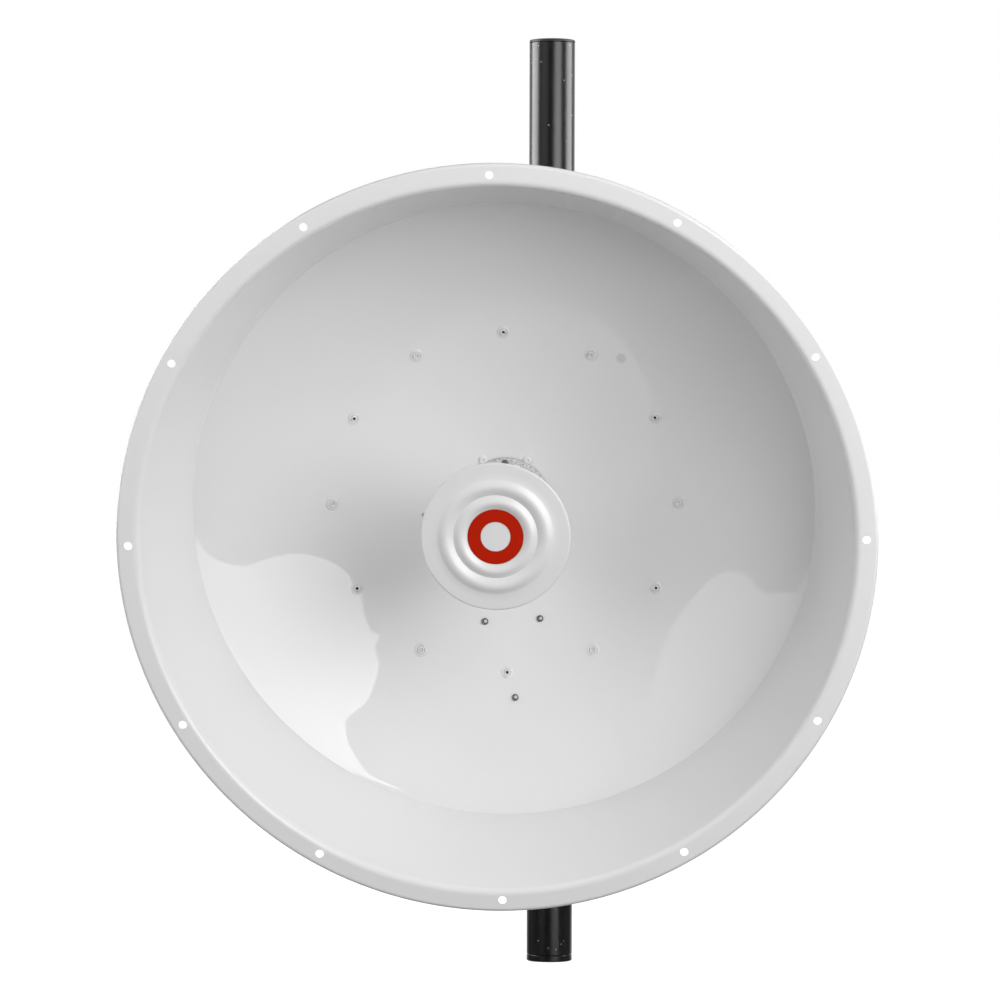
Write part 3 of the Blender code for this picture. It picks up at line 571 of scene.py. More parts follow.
def zinc_finish(name, light=0.60, dark=0.44, rough=(0.34, 0.5)):
    """Zinc on steel: crystal patches of slightly different grey and a fine grain."""
    material = surface(name, (light, light, light * 1.01), (dark, dark, dark * 1.02), 55.0, 1800.0,
                       0.000015, rough, metallic=0.9)
    tree = material.node_tree
    cells = add_node(tree, "ShaderNodeTexVoronoi", {"Vector": place_in(tree), "Scale": 260.0})
    patch = add_node(tree, "ShaderNodeSeparateColor", {0: cells.outputs["Color"]})
    tint(material, stretch(tree, patch, 0.0, 1.0, 0.82, 1.08))
    return material


screw_line = mm((0, -0.8), (1.73, -0.8), (1.73, -2), (2, -2.1), (2.5, -1.9), (2.9, -1.4),
                (3.1, -0.7), (3.1, 0), (2, 0), (2, 11), (1.7, 11.5), (0, 11.5))
screw_socket = hexagon(0.0030, within=0.0019)
# Outline of the bright patch that is painted beside each socket as a glint of light.
glint_patch_line = mm((0, -1.5), (0.5, -1.5), (0.7, -2.2), (1.2, -2.2), (1.5, -1.9), (1.6, -1), (0, -1))
glint_offset, pan_edge, behind_pan, behind_sheet = 0.0008, 0.168, 0.0052, 0.0022
floor_screws, painted_glints, floor_nuts = [], [], []
for across, up in ((-0.0193, -0.1094), (0.0300, -0.1065), (0.0081, -0.1756)):
    reach, turn = math.hypot(across, up), math.atan2(up, across)
    seat = to_dish @ Matrix.Rotation(-turn, 4, "Y") @ on_floor(reach)
    floor_screws.append(turned(screw_line, 48, seat, screw_socket))
    # Painted highlight: the bright patch sits on the same side of every screw, as a glint would.
    beside = seat @ Matrix.Rotation(turn - 0.5, 4, "Y") @ shift(glint_offset)
    painted_glints.append(turned(glint_patch_line, 24, beside))
    back = behind_pan if reach < pan_edge else behind_sheet
    floor_nuts.append(turned(washer_line(0.0048, 0.0021, back, back + 0.0009), 32, seat))
    floor_nuts.append(turned(nut_line(0.007, back + 0.0010, back + 0.0042, 0.0020), 48, seat,
                             hexagon(0.007)))
screw_black = surface("black_oxide", 0.22, 0.10, 300.0, 1500.0, 0.00002, (0.14, 0.24), metallic=0.5)
# The glint patches' finish: a bright colour that stands for a painted highlight.
glint_patch_finish = surface("glint_patch_finish", 0.95, 0.60, 900.0, 1500.0, 0.0001, (0.15, 0.3), metallic=0.1)
fastener_zinc = zinc_finish("fastener_zinc", 0.66, 0.5, (0.22, 0.36))
add_piece("floor_screws", joined(floor_screws), screw_black, "dish", "zinc_steel")
add_piece("screw_glint_patches", joined(painted_glints), glint_patch_finish, "dish", "zinc_steel")
add_piece("floor_screw_nuts", joined(floor_nuts), fastener_zinc, "dish", "zinc_steel")


# Feed flange: an aluminium casting bolted to the middle of the reflector. Its collar holds the
# feed's tube, and its sand-cast face is grey and speckled round a paler machined edge.
def cast_finish(name, light, dark, speck, metallic=0.55):
    """Cast aluminium: a rough grey skin with darker pits and specks."""
    material = surface(name, light, dark, 90.0, 1400.0, 0.00006, (0.42, 0.62), metallic, detail=5.0)
    tree = material.node_tree
    tint(material, stretch(tree, clouds(tree, 1100.0), 0.42, 0.62, speck, 1.0))
    return material


flange_radius, flange_screw_circle = 0.0385, 0.0341
flange_seat = floor_depth(flange_radius) - 0.0003
flange_face = flange_seat - 0.0050
flange_line = mm((21.8, 5), (38.5, 5), (38.5, 0.8), (38.3, 0.3), (37.8, 0), (29, 0), (28.1, -0.3),
                 (27.5, -1), (25.9, -7.5), (25.5, -8), (22.1, -8), (21.8, -7.7),
                 start=(0, flange_face))
flange_cast = cast_finish("flange_cast", 0.78, 0.66, 0.45, 0.15)
add_piece("feed_flange_casting", turned(flange_line, 120), flange_cast, "dish", "cast_aluminium",
          "feed_flange")
flange_screw = turned(screw_line[:8] + mm((1.9, 0), (1.9, 3), (0, 3)), 48,
                      shift(flange_screw_circle, flange_face), screw_socket)
add_piece("flange_screws", ring_of(flange_screw, 3, math.radians(91.0), screw_black), screw_black,
          "dish", "zinc_steel")


# Feed tube: a drawn aluminium tube, the waveguide, that stands on the dish axis between the
# flange and the cone. It leans half a degree to the left.
lean_point = shift(y=flange_seat)
feed_lean = Matrix.Rotation(math.radians(-0.55), 4, "Z")
to_feed = to_dish @ lean_point @ feed_lean @ lean_point.inverted()
tube_line = mm((19.5, 78.4), (19.9, 78), (21.1, 78), (21.5, 78.4), (21.5, 199.6), (21.1, 200),
               (19.9, 200), (19.5, 199.6))
tube_alloy = surface("drawn_tube", 0.72, 0.62, 30.0, 1600.0, 0.00001, (0.28, 0.4), metallic=0.85)
add_piece("feed_tube_drawn", turned(tube_line, 96, to_feed), tube_alloy, "dish", "cast_aluminium",
          "feed_tube")


# Feed cone: a moulded plastic cone that widens from the tube's mouth and carries the cap. Its
# back has fine steps where the mould was turned.
cone_line = mm((0, 42), (56.8, 42), (57.3, 42.5), (54.9, 50))
for step in between((0.0500, 0.0540), (0.0250, 0.0777), 12):
    cone_line += mm((0.8, -0.6), (0, 0), start=step)
cone_line += mm((19.5, 77.7), (19.2, 78), (19.2, 89.4), (18.9, 89.7), (0, 89.7))
cap_plastic = surface("cap_plastic", 0.75, 0.72, 14.0, 500.0, 0.000006, (0.20, 0.23))
add_piece("feed_cone_moulding", turned(cone_line, 120, to_feed), cap_plastic, "dish",
          "cap_plastic", "feed_cone")


# Feed cap: a round moulding of pale plastic, snapped over the cone. Two smooth ridges run round
# a flat middle, with a sharp groove between them, and the brim bends back into a skirt.
def arc(centre, radius, start, end, steps=16):
    """Points of an arc, from a start angle to an end angle in degrees."""
    turns = [math.radians(turn) for turn in spaced(start, end, steps)]
    return [(centre[0] + radius * math.cos(a), centre[1] + radius * math.sin(a)) for a in turns]


cap_face, cap_radius, cap_brim, brim_round = 0.0272, 0.0644, 0.0288, 0.0014
cap_skirt, skirt_radius = 0.0520, 0.0572
on_face = (0, cap_face)
cap_line = mm((0, 1.3), (23.9, 1.3), (24.1, 1.1), (24.2, 0.1), start=on_face)
for inner, outer, height in ((0.0243, 0.0359, 0.0024), (0.0362, 0.0505, 0.0028)):
    cap_line.append((inner, cap_face + 0.0003))
    for radius, turn in between((inner, 0.0), (outer, math.pi), 18)[1:]:
        cap_line.append((radius, cap_face - height * max(0.0, math.sin(turn)) ** 1.3))
cap_line += mm((56, 0.2), (62.2, 0.2), start=on_face)
cap_line += arc((cap_radius - brim_round, cap_brim), brim_round, -80, 0, 8)
cap_line += mm((0.3, -0.8), (-0.3, -0.1), (-0.8, 0), (-2, 0), (-2.5, -0.4),
               start=(skirt_radius, cap_skirt))
cap_line += mm((60.3, 6.5), (59.6, 5), (58, 4.5), (0, 4.5), start=on_face)
add_piece("feed_cap_moulding", turned(cap_line, 240, to_feed, sharp=40.0), cap_plastic, "dish",
          "cap_plastic", "feed_cap")


# Marker: a red painted ring in the cap's shallow recess, with a pale disc in its middle. Both are
# thin stuck-on pieces, and carry no letters.
red_paint = surface("red_paint", (0.47, 0.012, 0.0), (0.44, 0.010, 0.0), 60.0, 1200.0, 0.000008,
                    (0.34, 0.42))
fill_shader(red_paint, {"Specular IOR Level": 0.1})
ring_line = mm((13, 1), (13, 0.1), (13.1, 0), (23.7, 0), (23.8, 0.1), (23.8, 1), start=on_face)
add_piece("marker_ring_red", turned(ring_line, 160, to_feed), red_paint, "dish", "red_paint",
          "marker_ring")
disc_plastic = surface("disc_plastic", (0.745, 0.745, 0.75), (0.71, 0.71, 0.715), 40.0, 900.0,
                       0.000006, (0.3, 0.4))
disc_line = mm((0, 0), (12.6, 0), (12.7, 0.1), (12.7, 1), (0, 1), start=on_face)
add_piece("marker_disc_pale", turned(disc_line, 96, to_feed), disc_plastic, "dish", "cap_plastic",
          "marker_disc")


# Feed body: a cast aluminium housing behind the reflector, with three cooling grooves and a back
# cover held by four small screws. The coaxial connectors stand on the cover.
body_line = mm((0, 200.3), (27.6, 200.3), (28, 200.7), (28, 220.5))
for groove in (0.2205, 0.2253, 0.2301):
    body_line += mm((27.9, 0), (26.4, 0.4), (26.4, 2), (27.9, 2.4), start=(0, groove))
body_line += mm((28, 234), (28, 236.3), (27.7, 236.6), (27.7, 236.9), (28, 237.2), (28, 238.6),
                (26.8, 240), (0, 240))
body_cast = cast_finish("body_cast", 0.58, 0.46, 0.8)
add_piece("feed_body_casting", turned(body_line, 96), body_cast, "dish", "cast_aluminium",
          "feed_body")
cover_screw_circle = 0.0218
cover_screw_line = mm((0, 240.8), (1.25, 240.8), (1.25, 241.6), (1.8, 241.7), (2.4, 241.4),
                      (2.7, 240.7), (2.7, 240), (0, 240))
cover_screw = turned(cover_screw_line, 36, shift(cover_screw_circle),
                     hexagon(0.0022, within=0.0013))
add_piece("cover_screws", ring_of(cover_screw, 4, math.radians(45), fastener_zinc), fastener_zinc,
          "dish", "zinc_steel")


# Connectors: two nickel-plated coaxial sockets screwed to the body's cover. Each has a round
# flange, a threaded barrel, a pale insulator and a thin contact.
def swept(tree, path, sides, radius, size=1.0):
    """Sweep a circle along a path, with closed ends."""
    circle = add_node(tree, "GeometryNodeCurvePrimitiveCircle",
                      {"Resolution": sides, "Radius": radius})
    return add_node(tree, "GeometryNodeCurveToMesh",
                    {"Curve": path, "Profile Curve": circle, "Scale": size, "Fill Caps": True})


def thread(radius, pitch, length, crest, place, start, material, way=1):
    """A screw thread: a helix with a round crest, from a start point up or down the Y axis."""
    def build(tree, given):
        helix = add_node(tree, "GeometryNodeCurveSpiral",
                         {"Resolution": 28, "Rotations": given["Turns"], "Height": given["Length"],
                          "Start Radius": given["Radius"], "End Radius": given["Radius"]})
        return swept(tree, helix, 5, given["Crest"])

    mesh = grown({"Radius": ("Float", radius), "Turns": ("Float", length / pitch),
                  "Length": ("Float", length), "Crest": ("Float", crest),
                  "Material": ("Material", material)}, build)
    mesh.transform(place @ shift(y=start) @ Matrix.Rotation(-way * math.pi / 2, 4, "X"))
    return close_mesh(mesh)


nickel = surface("nickel_plate", (0.66, 0.64, 0.60), (0.56, 0.54, 0.50), 120.0, 2200.0, 0.000008,
                 (0.16, 0.28), metallic=1.0)
insulator = surface("insulator", (0.78, 0.77, 0.74), (0.70, 0.69, 0.66), 200.0, 1500.0, 0.00001,
                    (0.4, 0.5))
connector_line = mm((0, 240.3), (10.2, 240.3), (10.5, 240.6), (10.5, 243), (10.2, 243.3),
                    (8.4, 243.3), (7.5, 244), (7.5, 256.6), (7.2, 257.2), (6.8, 257.3), (6.6, 257),
                    (6.6, 249.3), (0, 249.3))
insulator_line = mm((0, 248), (4.2, 248), (4.2, 252), (3.8, 252.3), (1.4, 252.3), (1.2, 252.1),
                    (0, 252.1))
pin_line = mm((0, 250), (1.2, 250), (1.2, 255), (0.7, 255.3), (0, 254.5))
insulators = []
both_sides, connector_offset = ((-1, "left"), (1, "right")), 0.0135
for side, label in both_sides:
    name, seat = "connector_" + label, to_dish @ shift(side * connector_offset)
    parts = [turned(connector_line, 60, seat), turned(pin_line, 20, seat),
             thread(0.0075, 0.00106, 0.0112, 0.00038, seat, 0.2446, nickel)]
    add_piece(name + "_socket", joined(parts), nickel, "dish", "nickel_plate", name)
    insulators.append(turned(insulator_line, 36, seat))
add_piece("connector_insulators", joined(insulators), insulator, "dish", "cap_plastic")


# Mounting pan: a pressed and zinc-plated steel pan behind the reflector, held by the twelve
# rivets. Its rim follows the reflector's curve, and short ribs are pressed between the rivets.
pan_sheet, pan_floor, pan_hole = 0.0025, 0.2125, 0.0325
rib_middle, rib_half, rib_half_width, rib_height = 0.134, 0.019, 0.0062, 0.0026


def floor_back_depth(radius):
    """Depth of the reflector's back under the floor."""
    return floor_depth(radius) + reflector_sheet * math.sqrt(1 + (2 * radius / floor_curve) ** 2)


def pressed_ribs(point):
    """Twelve short ribs, pressed backwards between the rivets."""
    radius, turn = math.hypot(point.x, point.z), math.atan2(point.z, point.x)
    off = (turn - rivet_turn) % (math.pi / 6) - math.pi / 12
    side, end = abs(off) * radius / rib_half_width, (radius - rib_middle) / rib_half
    reach = math.hypot(side, max(0.0, abs(end) - 0.35) / 0.65)
    if reach >= 1.0:
        return point
    return point + Vector((0, rib_height * (0.5 + 0.5 * math.cos(math.pi * reach)), 0))


pan_line = mm((32.5, 0), (50, 0), (70, 0), (83.5, 0), (85.2, -0.5), (86.6, -1.6),
              start=(0, pan_floor))
shoulder_depth = floor_back_depth(0.098) + 0.0004
pan_line += between(pan_line[-1], (0.0970, shoulder_depth), 6)[1:-1]
pan_line += [(0.0978, shoulder_depth + 0.0002), (0.0988, floor_back_depth(0.0988) + 0.0005)]
pan_line += [(radius, floor_back_depth(radius) + 0.0004)
             for radius in spaced(0.101, pan_edge, 24)]
plate_zinc = zinc_finish("plate_zinc")
pan_mesh = turned(sheet_line(pan_line, pan_sheet), 360, to_dish, pressed_ribs)
add_piece("mounting_pan_pressing", pan_mesh, plate_zinc, "dish", "zinc_steel", "mounting_pan")


# Tilt bracket: a laser-cut steel plate on the pan's floor and two cheeks welded to it, one at
# each side. A curved slot in each cheek lets its lock bolt pass while the dish tilts.
def hole(centre, radius, sides):
    """Points of a round hole."""
    return arc(centre, radius, 0, 360 - 360 / sides, sides - 1)


def rounded_box(left, right, low, high, corner):
    """Outline of an upright rectangle with round corners."""
    centres = ((right - corner, high - corner), (left + corner, high - corner),
               (left + corner, low + corner), (right - corner, low + corner))
    return [point for i, centre in enumerate(centres)
            for point in arc(centre, corner, 90 * i, 90 * i + 90, 10)]


def add_line(curve, points):
    """Add a straight-sided line of (x, y) points to a curve."""
    line = curve.splines.new("POLY")
    line.points.add(len(points) - 1)
    for point, (x, y) in zip(line.points, points):
        point.co = (x, y, 0, 1)
    return line


def cut_plate(outline, holes, thickness, place, edge=0.0004):
    """A plate cut to an outline, with holes, and its edges slightly broken."""
    curve = bpy.data.curves.new("plate", "CURVE")
    curve.dimensions, curve.fill_mode = "2D", "BOTH"
    curve.extrude = thickness / 2 - edge
    curve.bevel_depth, curve.bevel_resolution, curve.offset = edge, 1, -edge
    for points in (outline, *holes):
        add_line(curve, points).use_cyclic_u = True
    mesh = plain_mesh(add_object("plate", curve))
    mesh.transform(place)
    return close_mesh(mesh)


def facing_plane(middle):
    """Stands an outline of (x, z) points up across the dish axis."""
    return Matrix(((1, 0, 0, 0), (0, 0, 1, middle), (0, 1, 0, 0), (0, 0, 0, 1)))


def side_plane(middle):
    """Stands an outline of (y, z) points up in a plane of constant x."""
    return Matrix(((0, 0, 1, middle), (1, 0, 0, 0), (0, 1, 0, 0), (0, 0, 0, 1)))


def weld_bead(start, end, radius, seed, material):
    """A weld bead with a rippled back along a straight joint."""
    def build(tree, given):
        line = add_node(tree, "GeometryNodeCurvePrimitiveLine",
                        {"Start": given["Start"], "End": given["End"]})
        fine = add_node(tree, "GeometryNodeResampleCurve", {"Curve": line, "Count": 90})
        number = add_node(tree, "GeometryNodeInputIndex")
        wave = compute(tree, "SINE", compute(tree, "MULTIPLY", number, 1.9))
        spot = add_node(tree, "ShaderNodeCombineXYZ", {"X": number, "Y": given["Seed"]})
        rough = add_node(tree, "ShaderNodeTexNoise", {"Vector": spot, "Scale": 0.31})
        ripple = compute(tree, "MULTIPLY_ADD", wave, 0.07, 0.72)
        uneven = compute(tree, "MULTIPLY_ADD", rough, 0.5, ripple)
        return swept(tree, fine, 10, given["Radius"], uneven)

    mesh = grown({"Start": ("Vector", start), "End": ("Vector", end), "Radius": ("Float", radius),
                  "Seed": ("Float", seed), "Material": ("Material", material)}, build)
    return close_mesh(mesh, 60.0)


tilt_plate_front, plate_steel = 0.2153, 0.004
tilt_plate_back = tilt_plate_front + plate_steel
cheek_inner, pivot_depth, m8_hole, m10_hole = 0.050, 0.291, 0.0045, 0.0055
lock_reach, slot_sweep = 0.045, 16.0
tilt_mesh = cut_plate(rounded_box(-0.054, 0.054, -0.056, 0.056, 0.010),
                      [hole((0, 0), pan_hole, 60)], plate_steel,
                      to_dish @ facing_plane(tilt_plate_front + plate_steel / 2))
add_piece("tilt_plate_cut", tilt_mesh, plate_zinc, "dish", "zinc_steel", "tilt_plate")

pivot_spot = (pivot_depth, 0)
cheek_outline = [(tilt_plate_back + 0.0003, -0.050)] + arc(pivot_spot, 0.018, -70, 70, 24)
cheek_outline += [(tilt_plate_back + 0.0003, 0.050)]
slot_tips = arc(pivot_spot, lock_reach, 180 - slot_sweep, 180 + slot_sweep, 1)
slot_line = arc(pivot_spot, lock_reach + m8_hole, 180 - slot_sweep, 180 + slot_sweep)
slot_line += arc(slot_tips[1], m8_hole, 180 + slot_sweep, 360 + slot_sweep, 10)[1:-1]
slot_line += arc(pivot_spot, lock_reach - m8_hole, 180 + slot_sweep, 180 - slot_sweep)
slot_line += arc(slot_tips[0], m8_hole, -slot_sweep, 180 - slot_sweep, 10)[1:-1]
cheek_holes = [hole(pivot_spot, m10_hole, 36), slot_line]
weld_zinc = zinc_finish("weld_zinc", 0.52, 0.36, (0.4, 0.6))
bracket_welds = []
for side, label in both_sides:
    cheek = cut_plate(cheek_outline, cheek_holes, plate_steel,
                      to_dish @ side_plane(side * (cheek_inner + plate_steel / 2)))
    name = "tilt_cheek_" + label
    add_piece(name + "_cut", cheek, plate_zinc, "dish", "zinc_steel", name)
    for low, high in ((-0.0485, -0.030), (-0.010, 0.010), (0.030, 0.0485)):
        joint = [Vector((side * (cheek_inner - 0.0003), tilt_plate_back + 0.0004, z))
                 for z in (low, high)]
        bead = weld_bead(*joint, 0.0024, 10.0 * high, weld_zinc)
        bead.transform(to_dish)
        bracket_welds.append(bead)
add_piece("bracket_welds", joined(bracket_welds), weld_zinc, "dish", "zinc_steel")


# Tilt plate bolts: four zinc-plated M8 hexagon bolts with washers hold the bracket on the pan.
# Only the heads are built, because the shanks and nuts would lie hidden in the pan.
def hexagon_head(flats, low, high, place):
    """A hexagon head that bears at low and is chamfered at high."""
    corner, flat = 0.5775 * flats, 0.475 * flats
    rise = math.copysign(0.0009, high - low)
    line = [(0.0, low), (corner, low), (corner, high - rise), (flat, high), (0.0, high)]
    return turned(line, 48, place, hexagon(flats))


m8_flats, m10_flats, washer = 0.013, 0.017, 0.0012
plate_seat, bolt_side, bolt_height = tilt_plate_back + 0.0003, 0.036, 0.040
for side, label in both_sides:
    for up, row in ((1, "top"), (-1, "bottom")):
        name = "plate_bolt_" + row + "_" + label
        place = to_dish @ shift(side * bolt_side, plate_seat, up * bolt_height)
        parts = [turned(washer_line(0.0080, 0.0040, 0, washer), 48, place),
                 hexagon_head(m8_flats, washer, 0.0065, place)]
        add_piece(name + "_head", joined(parts), fastener_zinc, "dish", "zinc_steel", name)


# Mast plate and lugs: a thick steel plate in front of the mast, drilled for the U-bolts, with two
# lugs welded across it that carry the pivot and lock bolts.
pivot_place = Vector((-0.033, -0.090346, 0.446525))
mast_plate_front, mast_plate_steel, lug_inner = -0.041, 0.005, 0.0405
rod_side, clamp_height = 0.0257, 0.045
rod_holes = [hole((side * rod_side, up * clamp_height), m8_hole, 24)
             for side in (-1, 1) for up in (-1, 1)]
at_pivot_height = shift(z=pivot_place.z)
plate_mesh = cut_plate(rounded_box(-0.085, 0.047, -0.070, 0.070, 0.012), rod_holes,
                       mast_plate_steel,
                       at_pivot_height @ facing_plane(mast_plate_front + mast_plate_steel / 2),
                       0.0005)
add_piece("mast_plate_cut", plate_mesh, plate_zinc, "yoke", "zinc_steel", "mast_plate")

lug_root, lug_tip = mast_plate_front - 0.0003, (pivot_place.y - lock_reach, 0.0)
lug_outline = [(lug_root, 0.045)] + arc(lug_tip, 0.014, 110, 250, 20) + [(lug_root, -0.045)]
lug_holes = [hole((pivot_place.y, 0), m10_hole, 36), hole(lug_tip, m8_hole, 24)]
lug_welds = []
for side, label in both_sides:
    middle = pivot_place.x + side * (lug_inner + plate_steel / 2)
    lug = cut_plate(lug_outline, lug_holes, plate_steel, at_pivot_height @ side_plane(middle))
    add_piece("lug_" + label + "_cut", lug, plate_zinc, "yoke", "zinc_steel", "lug_" + label)
    for face in (-1, 1):
        x = middle + face * (plate_steel / 2 + 0.0004)
        for low, high in ((-0.0435, -0.004), (0.004, 0.0435)):
            joint = [Vector((x, mast_plate_front - 0.0004, pivot_place.z + z)) for z in (low, high)]
            lug_welds.append(weld_bead(*joint, 0.0026, 50.0 * (x + high), weld_zinc))
add_piece("lug_welds", joined(lug_welds), weld_zinc, "yoke", "zinc_steel")


# Pivot bolt: an M10 bolt right through both lugs and cheeks, with spacer rings between them and a
# nut and washer at its right end.
def nut_and_washer(flats, bore, washer_size, foot, seat, top, place):
    """A hexagon nut from seat to top, on a washer of the given (radius, bore) on the foot."""
    return joined([turned(washer_line(*washer_size, foot, seat), 60, place),
                   turned(nut_line(flats, seat, top, bore), 48, place, hexagon(flats))])


def add_fastener(name, mesh, cad_name):
    """Put a zinc-plated fastener on the yoke."""
    add_piece(name, mesh, fastener_zinc, "yoke", "zinc_steel", cad_name)


along_x = Matrix.Translation(pivot_place) @ Matrix.Rotation(-math.pi / 2, 4, "Z")
m10_nut, m10_washer, overhang = 0.0080, (0.0105, 0.0055), 0.0030
outside = cheek_inner + plate_steel + 0.0003
nut_seat = outside + washer
bolt_end = nut_seat + m10_nut + overhang
pivot_shank = [(0.0, -outside), (0.0050, -outside), (0.0050, outside + 0.0004),
               (0.0045, outside + 0.0009), (0.0045, bolt_end - 0.0006), (0.0039, bolt_end),
               (0.0, bolt_end)]
pivot_parts = [hexagon_head(m10_flats, -outside, -outside - 0.0064, along_x),
               turned(pivot_shank, 48, along_x),
               thread(0.0045, 0.0015, 0.0105, 0.0005, along_x, nut_seat, fastener_zinc)]
add_fastener("pivot_bolt_turned", joined(pivot_parts), "pivot_bolt")
pivot_nut = nut_and_washer(m10_flats, 0.0051, m10_washer, outside, nut_seat, nut_seat + m10_nut,
                           along_x)
add_fastener("pivot_nut_turned", pivot_nut, "pivot_nut")


def add_spacer(kind, side, label, radius, bore, place):
    """A spacer ring between a lug and its cheek."""
    low, high = lug_inner + plate_steel + 0.0003, cheek_inner - 0.0003
    ring = turned(washer_line(radius, bore, side * low, side * high), 60, place)
    add_fastener(kind + "_spacer_ring_" + label, ring, kind + "_spacer_" + label)


for side, label in both_sides:
    add_spacer("pivot", side, label, *m10_washer, along_x)


# Lock bolts: an M8 bolt at each side goes out through the lug, a spacer ring and the cheek's
# slot, and its nut clamps the cheek once the tilt is set.
m8_nut, m8_bore, m8_washer = 0.0068, 0.0041, (0.0095, 0.0045)
m8_root, m8_pitch, m8_crest = 0.0036, 0.00125, 0.0004
at_lock = shift(y=-lock_reach) @ along_x
inside, shank_end = lug_inner - 0.0003, nut_seat + m8_nut + overhang
for side, label in both_sides:
    shank = [(0.0, inside), (0.0040, inside), (0.0040, outside + 0.0004),
             (m8_root, outside + 0.0008), (m8_root, shank_end - 0.0005), (0.0030, shank_end),
             (0.0, shank_end)]
    parts = [hexagon_head(m8_flats, side * inside, side * (inside - 0.0053), at_lock),
             turned([(radius, side * along) for radius, along in shank], 40, at_lock),
             thread(m8_root, m8_pitch, 0.0095, m8_crest, at_lock, side * nut_seat, fastener_zinc,
                    side)]
    add_fastener("lock_bolt_turned_" + label, joined(parts), "lock_bolt_" + label)
    nut = nut_and_washer(m8_flats, m8_bore, m8_washer, side * outside, side * nut_seat,
                         side * (outside + 0.0080), at_lock)
    add_fastener("lock_nut_turned_" + label, nut, "lock_nut_" + label)
    add_spacer("lock", side, label, 0.0090, 0.0045, at_lock)


# Mast clamps: a cast saddle with a toothed V bears on the front of the mast at each of two
# heights. A bent M8 U-bolt goes round the mast and through saddle and plate to two nuts.
saddle_apex, saddle_mouth, saddle_back = -0.0215 * math.sqrt(2), -0.0130, -0.0357
saddle_height, teeth, tooth_depth = 0.022, 14, 0.0007 * math.sqrt(2)
saddle_line = [(-0.037, saddle_back), (0.037, saddle_back), (0.037, -0.020), (0.032, saddle_mouth)]
flank = [(saddle_mouth - saddle_apex, saddle_mouth), (0.0, saddle_apex)]
for ends in (flank, [(-x, y) for x, y in flank[::-1]]):
    for i, (x, y) in enumerate(between(*ends, 2 * teeth)):
        saddle_line.append((x, y - tooth_depth * (i % 2)))
saddle_line = list(dict.fromkeys(saddle_line + [(-0.032, saddle_mouth), (-0.037, -0.020)]))
saddle_cast = cast_finish("saddle_cast", 0.56, 0.42, 0.75)
rod_tip = mast_plate_front - 0.0150
legs = [rod_tip, rod_tip + 0.0004, -0.0222, -0.0205, 0.0]
route = [(rod_side, y) for y in legs[:-1]] + arc((0, 0), rod_side, 0, 180, 60)
route += [(-rod_side, y) for y in legs[-2::-1]]
tip_sizes = (0.80, 0.90, 0.90)
for up, row in ((-1, "lower"), (1, "upper")):
    level = shift(z=pivot_place.z + up * clamp_height)
    saddle = cut_plate(saddle_line, [], saddle_height, Matrix.Identity(4), 0.0002)
    bores = [turned([(0, -0.04), (m8_hole, -0.04), (m8_hole, 0.0), (0, 0.0)], 24,
                    shift(side * rod_side)) for side in (-1, 1)]
    saddle = close_mesh(drilled(saddle, joined(bores)))
    saddle.transform(level)
    add_piece("saddle_casting_" + row, saddle, saddle_cast, "yoke", "cast_aluminium",
              "saddle_" + row)

    rod = bpy.data.curves.new("rod", "CURVE")
    rod.dimensions, rod.bevel_depth, rod.bevel_resolution, rod.use_fill_caps = "3D", 0.004, 6, True
    for i, point in enumerate(add_line(rod, route).points):
        from_tip = min(i, len(route) - 1 - i)
        point.radius = tip_sizes[from_tip] if from_tip < len(tip_sizes) else 1.0
    parts = [close_mesh(plain_mesh(add_object("rod", rod)))]
    parts += [thread(m8_root, m8_pitch, 0.0330, m8_crest, shift(side * rod_side),
                     rod_tip + 0.0008, fastener_zinc) for side in (-1, 1)]
    whole = joined(parts)
    whole.transform(level)
    add_fastener("u_bolt_bent_" + row, whole, "u_bolt_" + row)

    for side, label in both_sides:
        place = level @ shift(side * rod_side, mast_plate_front - 0.0003)
        nut = nut_and_washer(m8_flats, m8_bore, m8_washer, 0, -washer, -0.0080, place)
        name = "clamp_nut_" + row + "_" + label
        add_fastener(name + "_turned", nut, name)


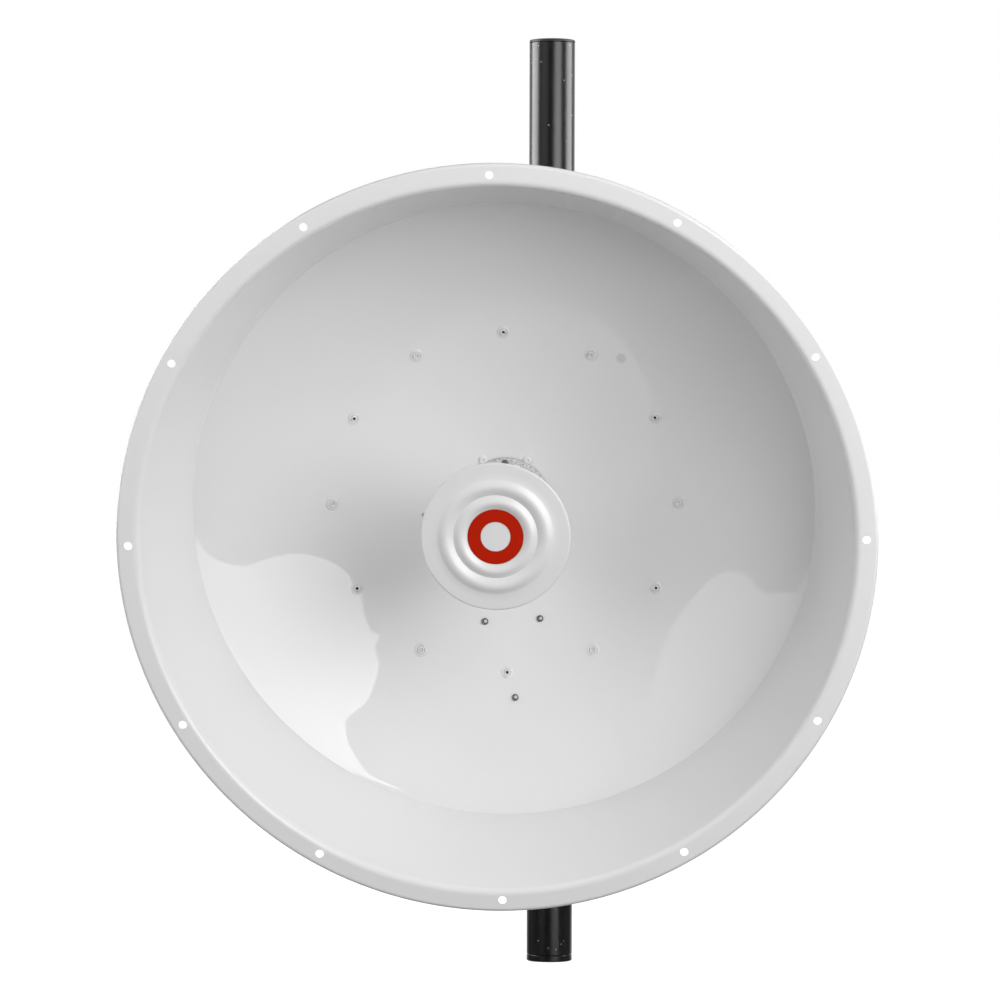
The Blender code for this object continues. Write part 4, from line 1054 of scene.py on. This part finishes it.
# Mast: a round steel tube painted gloss black, with a welded disc at its foot. Dust grains under
# the paint stand out as small bright specks.
mast_top, mast_outer, mast_bore = 0.8556, 0.0212, 0.0186
tube_low, tube_high, tube_edge = 0.0063, mast_top - 0.0028, 0.0004
stand_up = Matrix.Rotation(math.pi / 2, 4, "X")
mast_line = [(mast_bore, tube_low), (mast_outer - tube_edge, tube_low)]
mast_line += between((mast_outer, tube_low + tube_edge), (mast_outer, tube_high - tube_edge), 40)
mast_line += [(mast_outer - tube_edge, tube_high), (mast_bore, tube_high)]
mast_paint = surface("gloss_black_paint", 0.0045, 0.0025, 30.0, 950.0, 0.00016, (0.30, 0.42))
black = mast_paint.node_tree
grains = add_node(black, "ShaderNodeTexVoronoi", {"Vector": place_in(black), "Scale": 420.0})
chance = add_node(black, "ShaderNodeSeparateColor", {0: grains.outputs["Color"]})
dust = compute(black, "MULTIPLY", compute(black, "GREATER_THAN", chance, 0.975),
               stretch(black, grains.outputs["Distance"], 0.12, 0.30, 1.0, 0.0))
dusty = blend(black, dust, source_of(mast_paint, "Base Color"), (0.60, 0.60, 0.60, 1))
fill_shader(mast_paint, {"Base Color": dusty, "Specular IOR Level": 0.22, "Coat Weight": 0.85,
                         "Coat Roughness": 0.05, "Coat Normal": source_of(mast_paint, "Normal")})
add_piece("mast_tube_painted", turned(mast_line, 128, stand_up), mast_paint, "mast", "mast_paint",
          "mast_tube")
foot_line = mm((0, 0), (20.4, 0), (21.2, 0.8), (21.2, 5.4), (20.6, 6), (18.3, 6), (18.3, 10),
               (0, 10))
add_piece("mast_foot_disc", turned(foot_line, 128, stand_up), mast_paint, "mast", "mast_paint",
          "mast_foot_plate")


# Top plug: a black moulded plug pressed into the mast, with a flat head and a shallow round
# recess where it was moulded.
plug_line = mm((0, -0.6), (4, -0.6), (4.6, -0.2), (5.2, 0), (20, 0), (20.8, -0.3), (21.2, -1),
               (21.2, -2.5), (18.3, -2.5), (18.3, -17), (17.5, -18), (0, -18), start=(0, mast_top))
plug_plastic = surface("plug_plastic", 0.030, 0.018, 120.0, 900.0, 0.00003, (0.4, 0.55))
add_piece("mast_plug_moulding", turned(plug_line, 96, stand_up), plug_plastic, "mast",
          "black_plastic", "mast_top_plug")
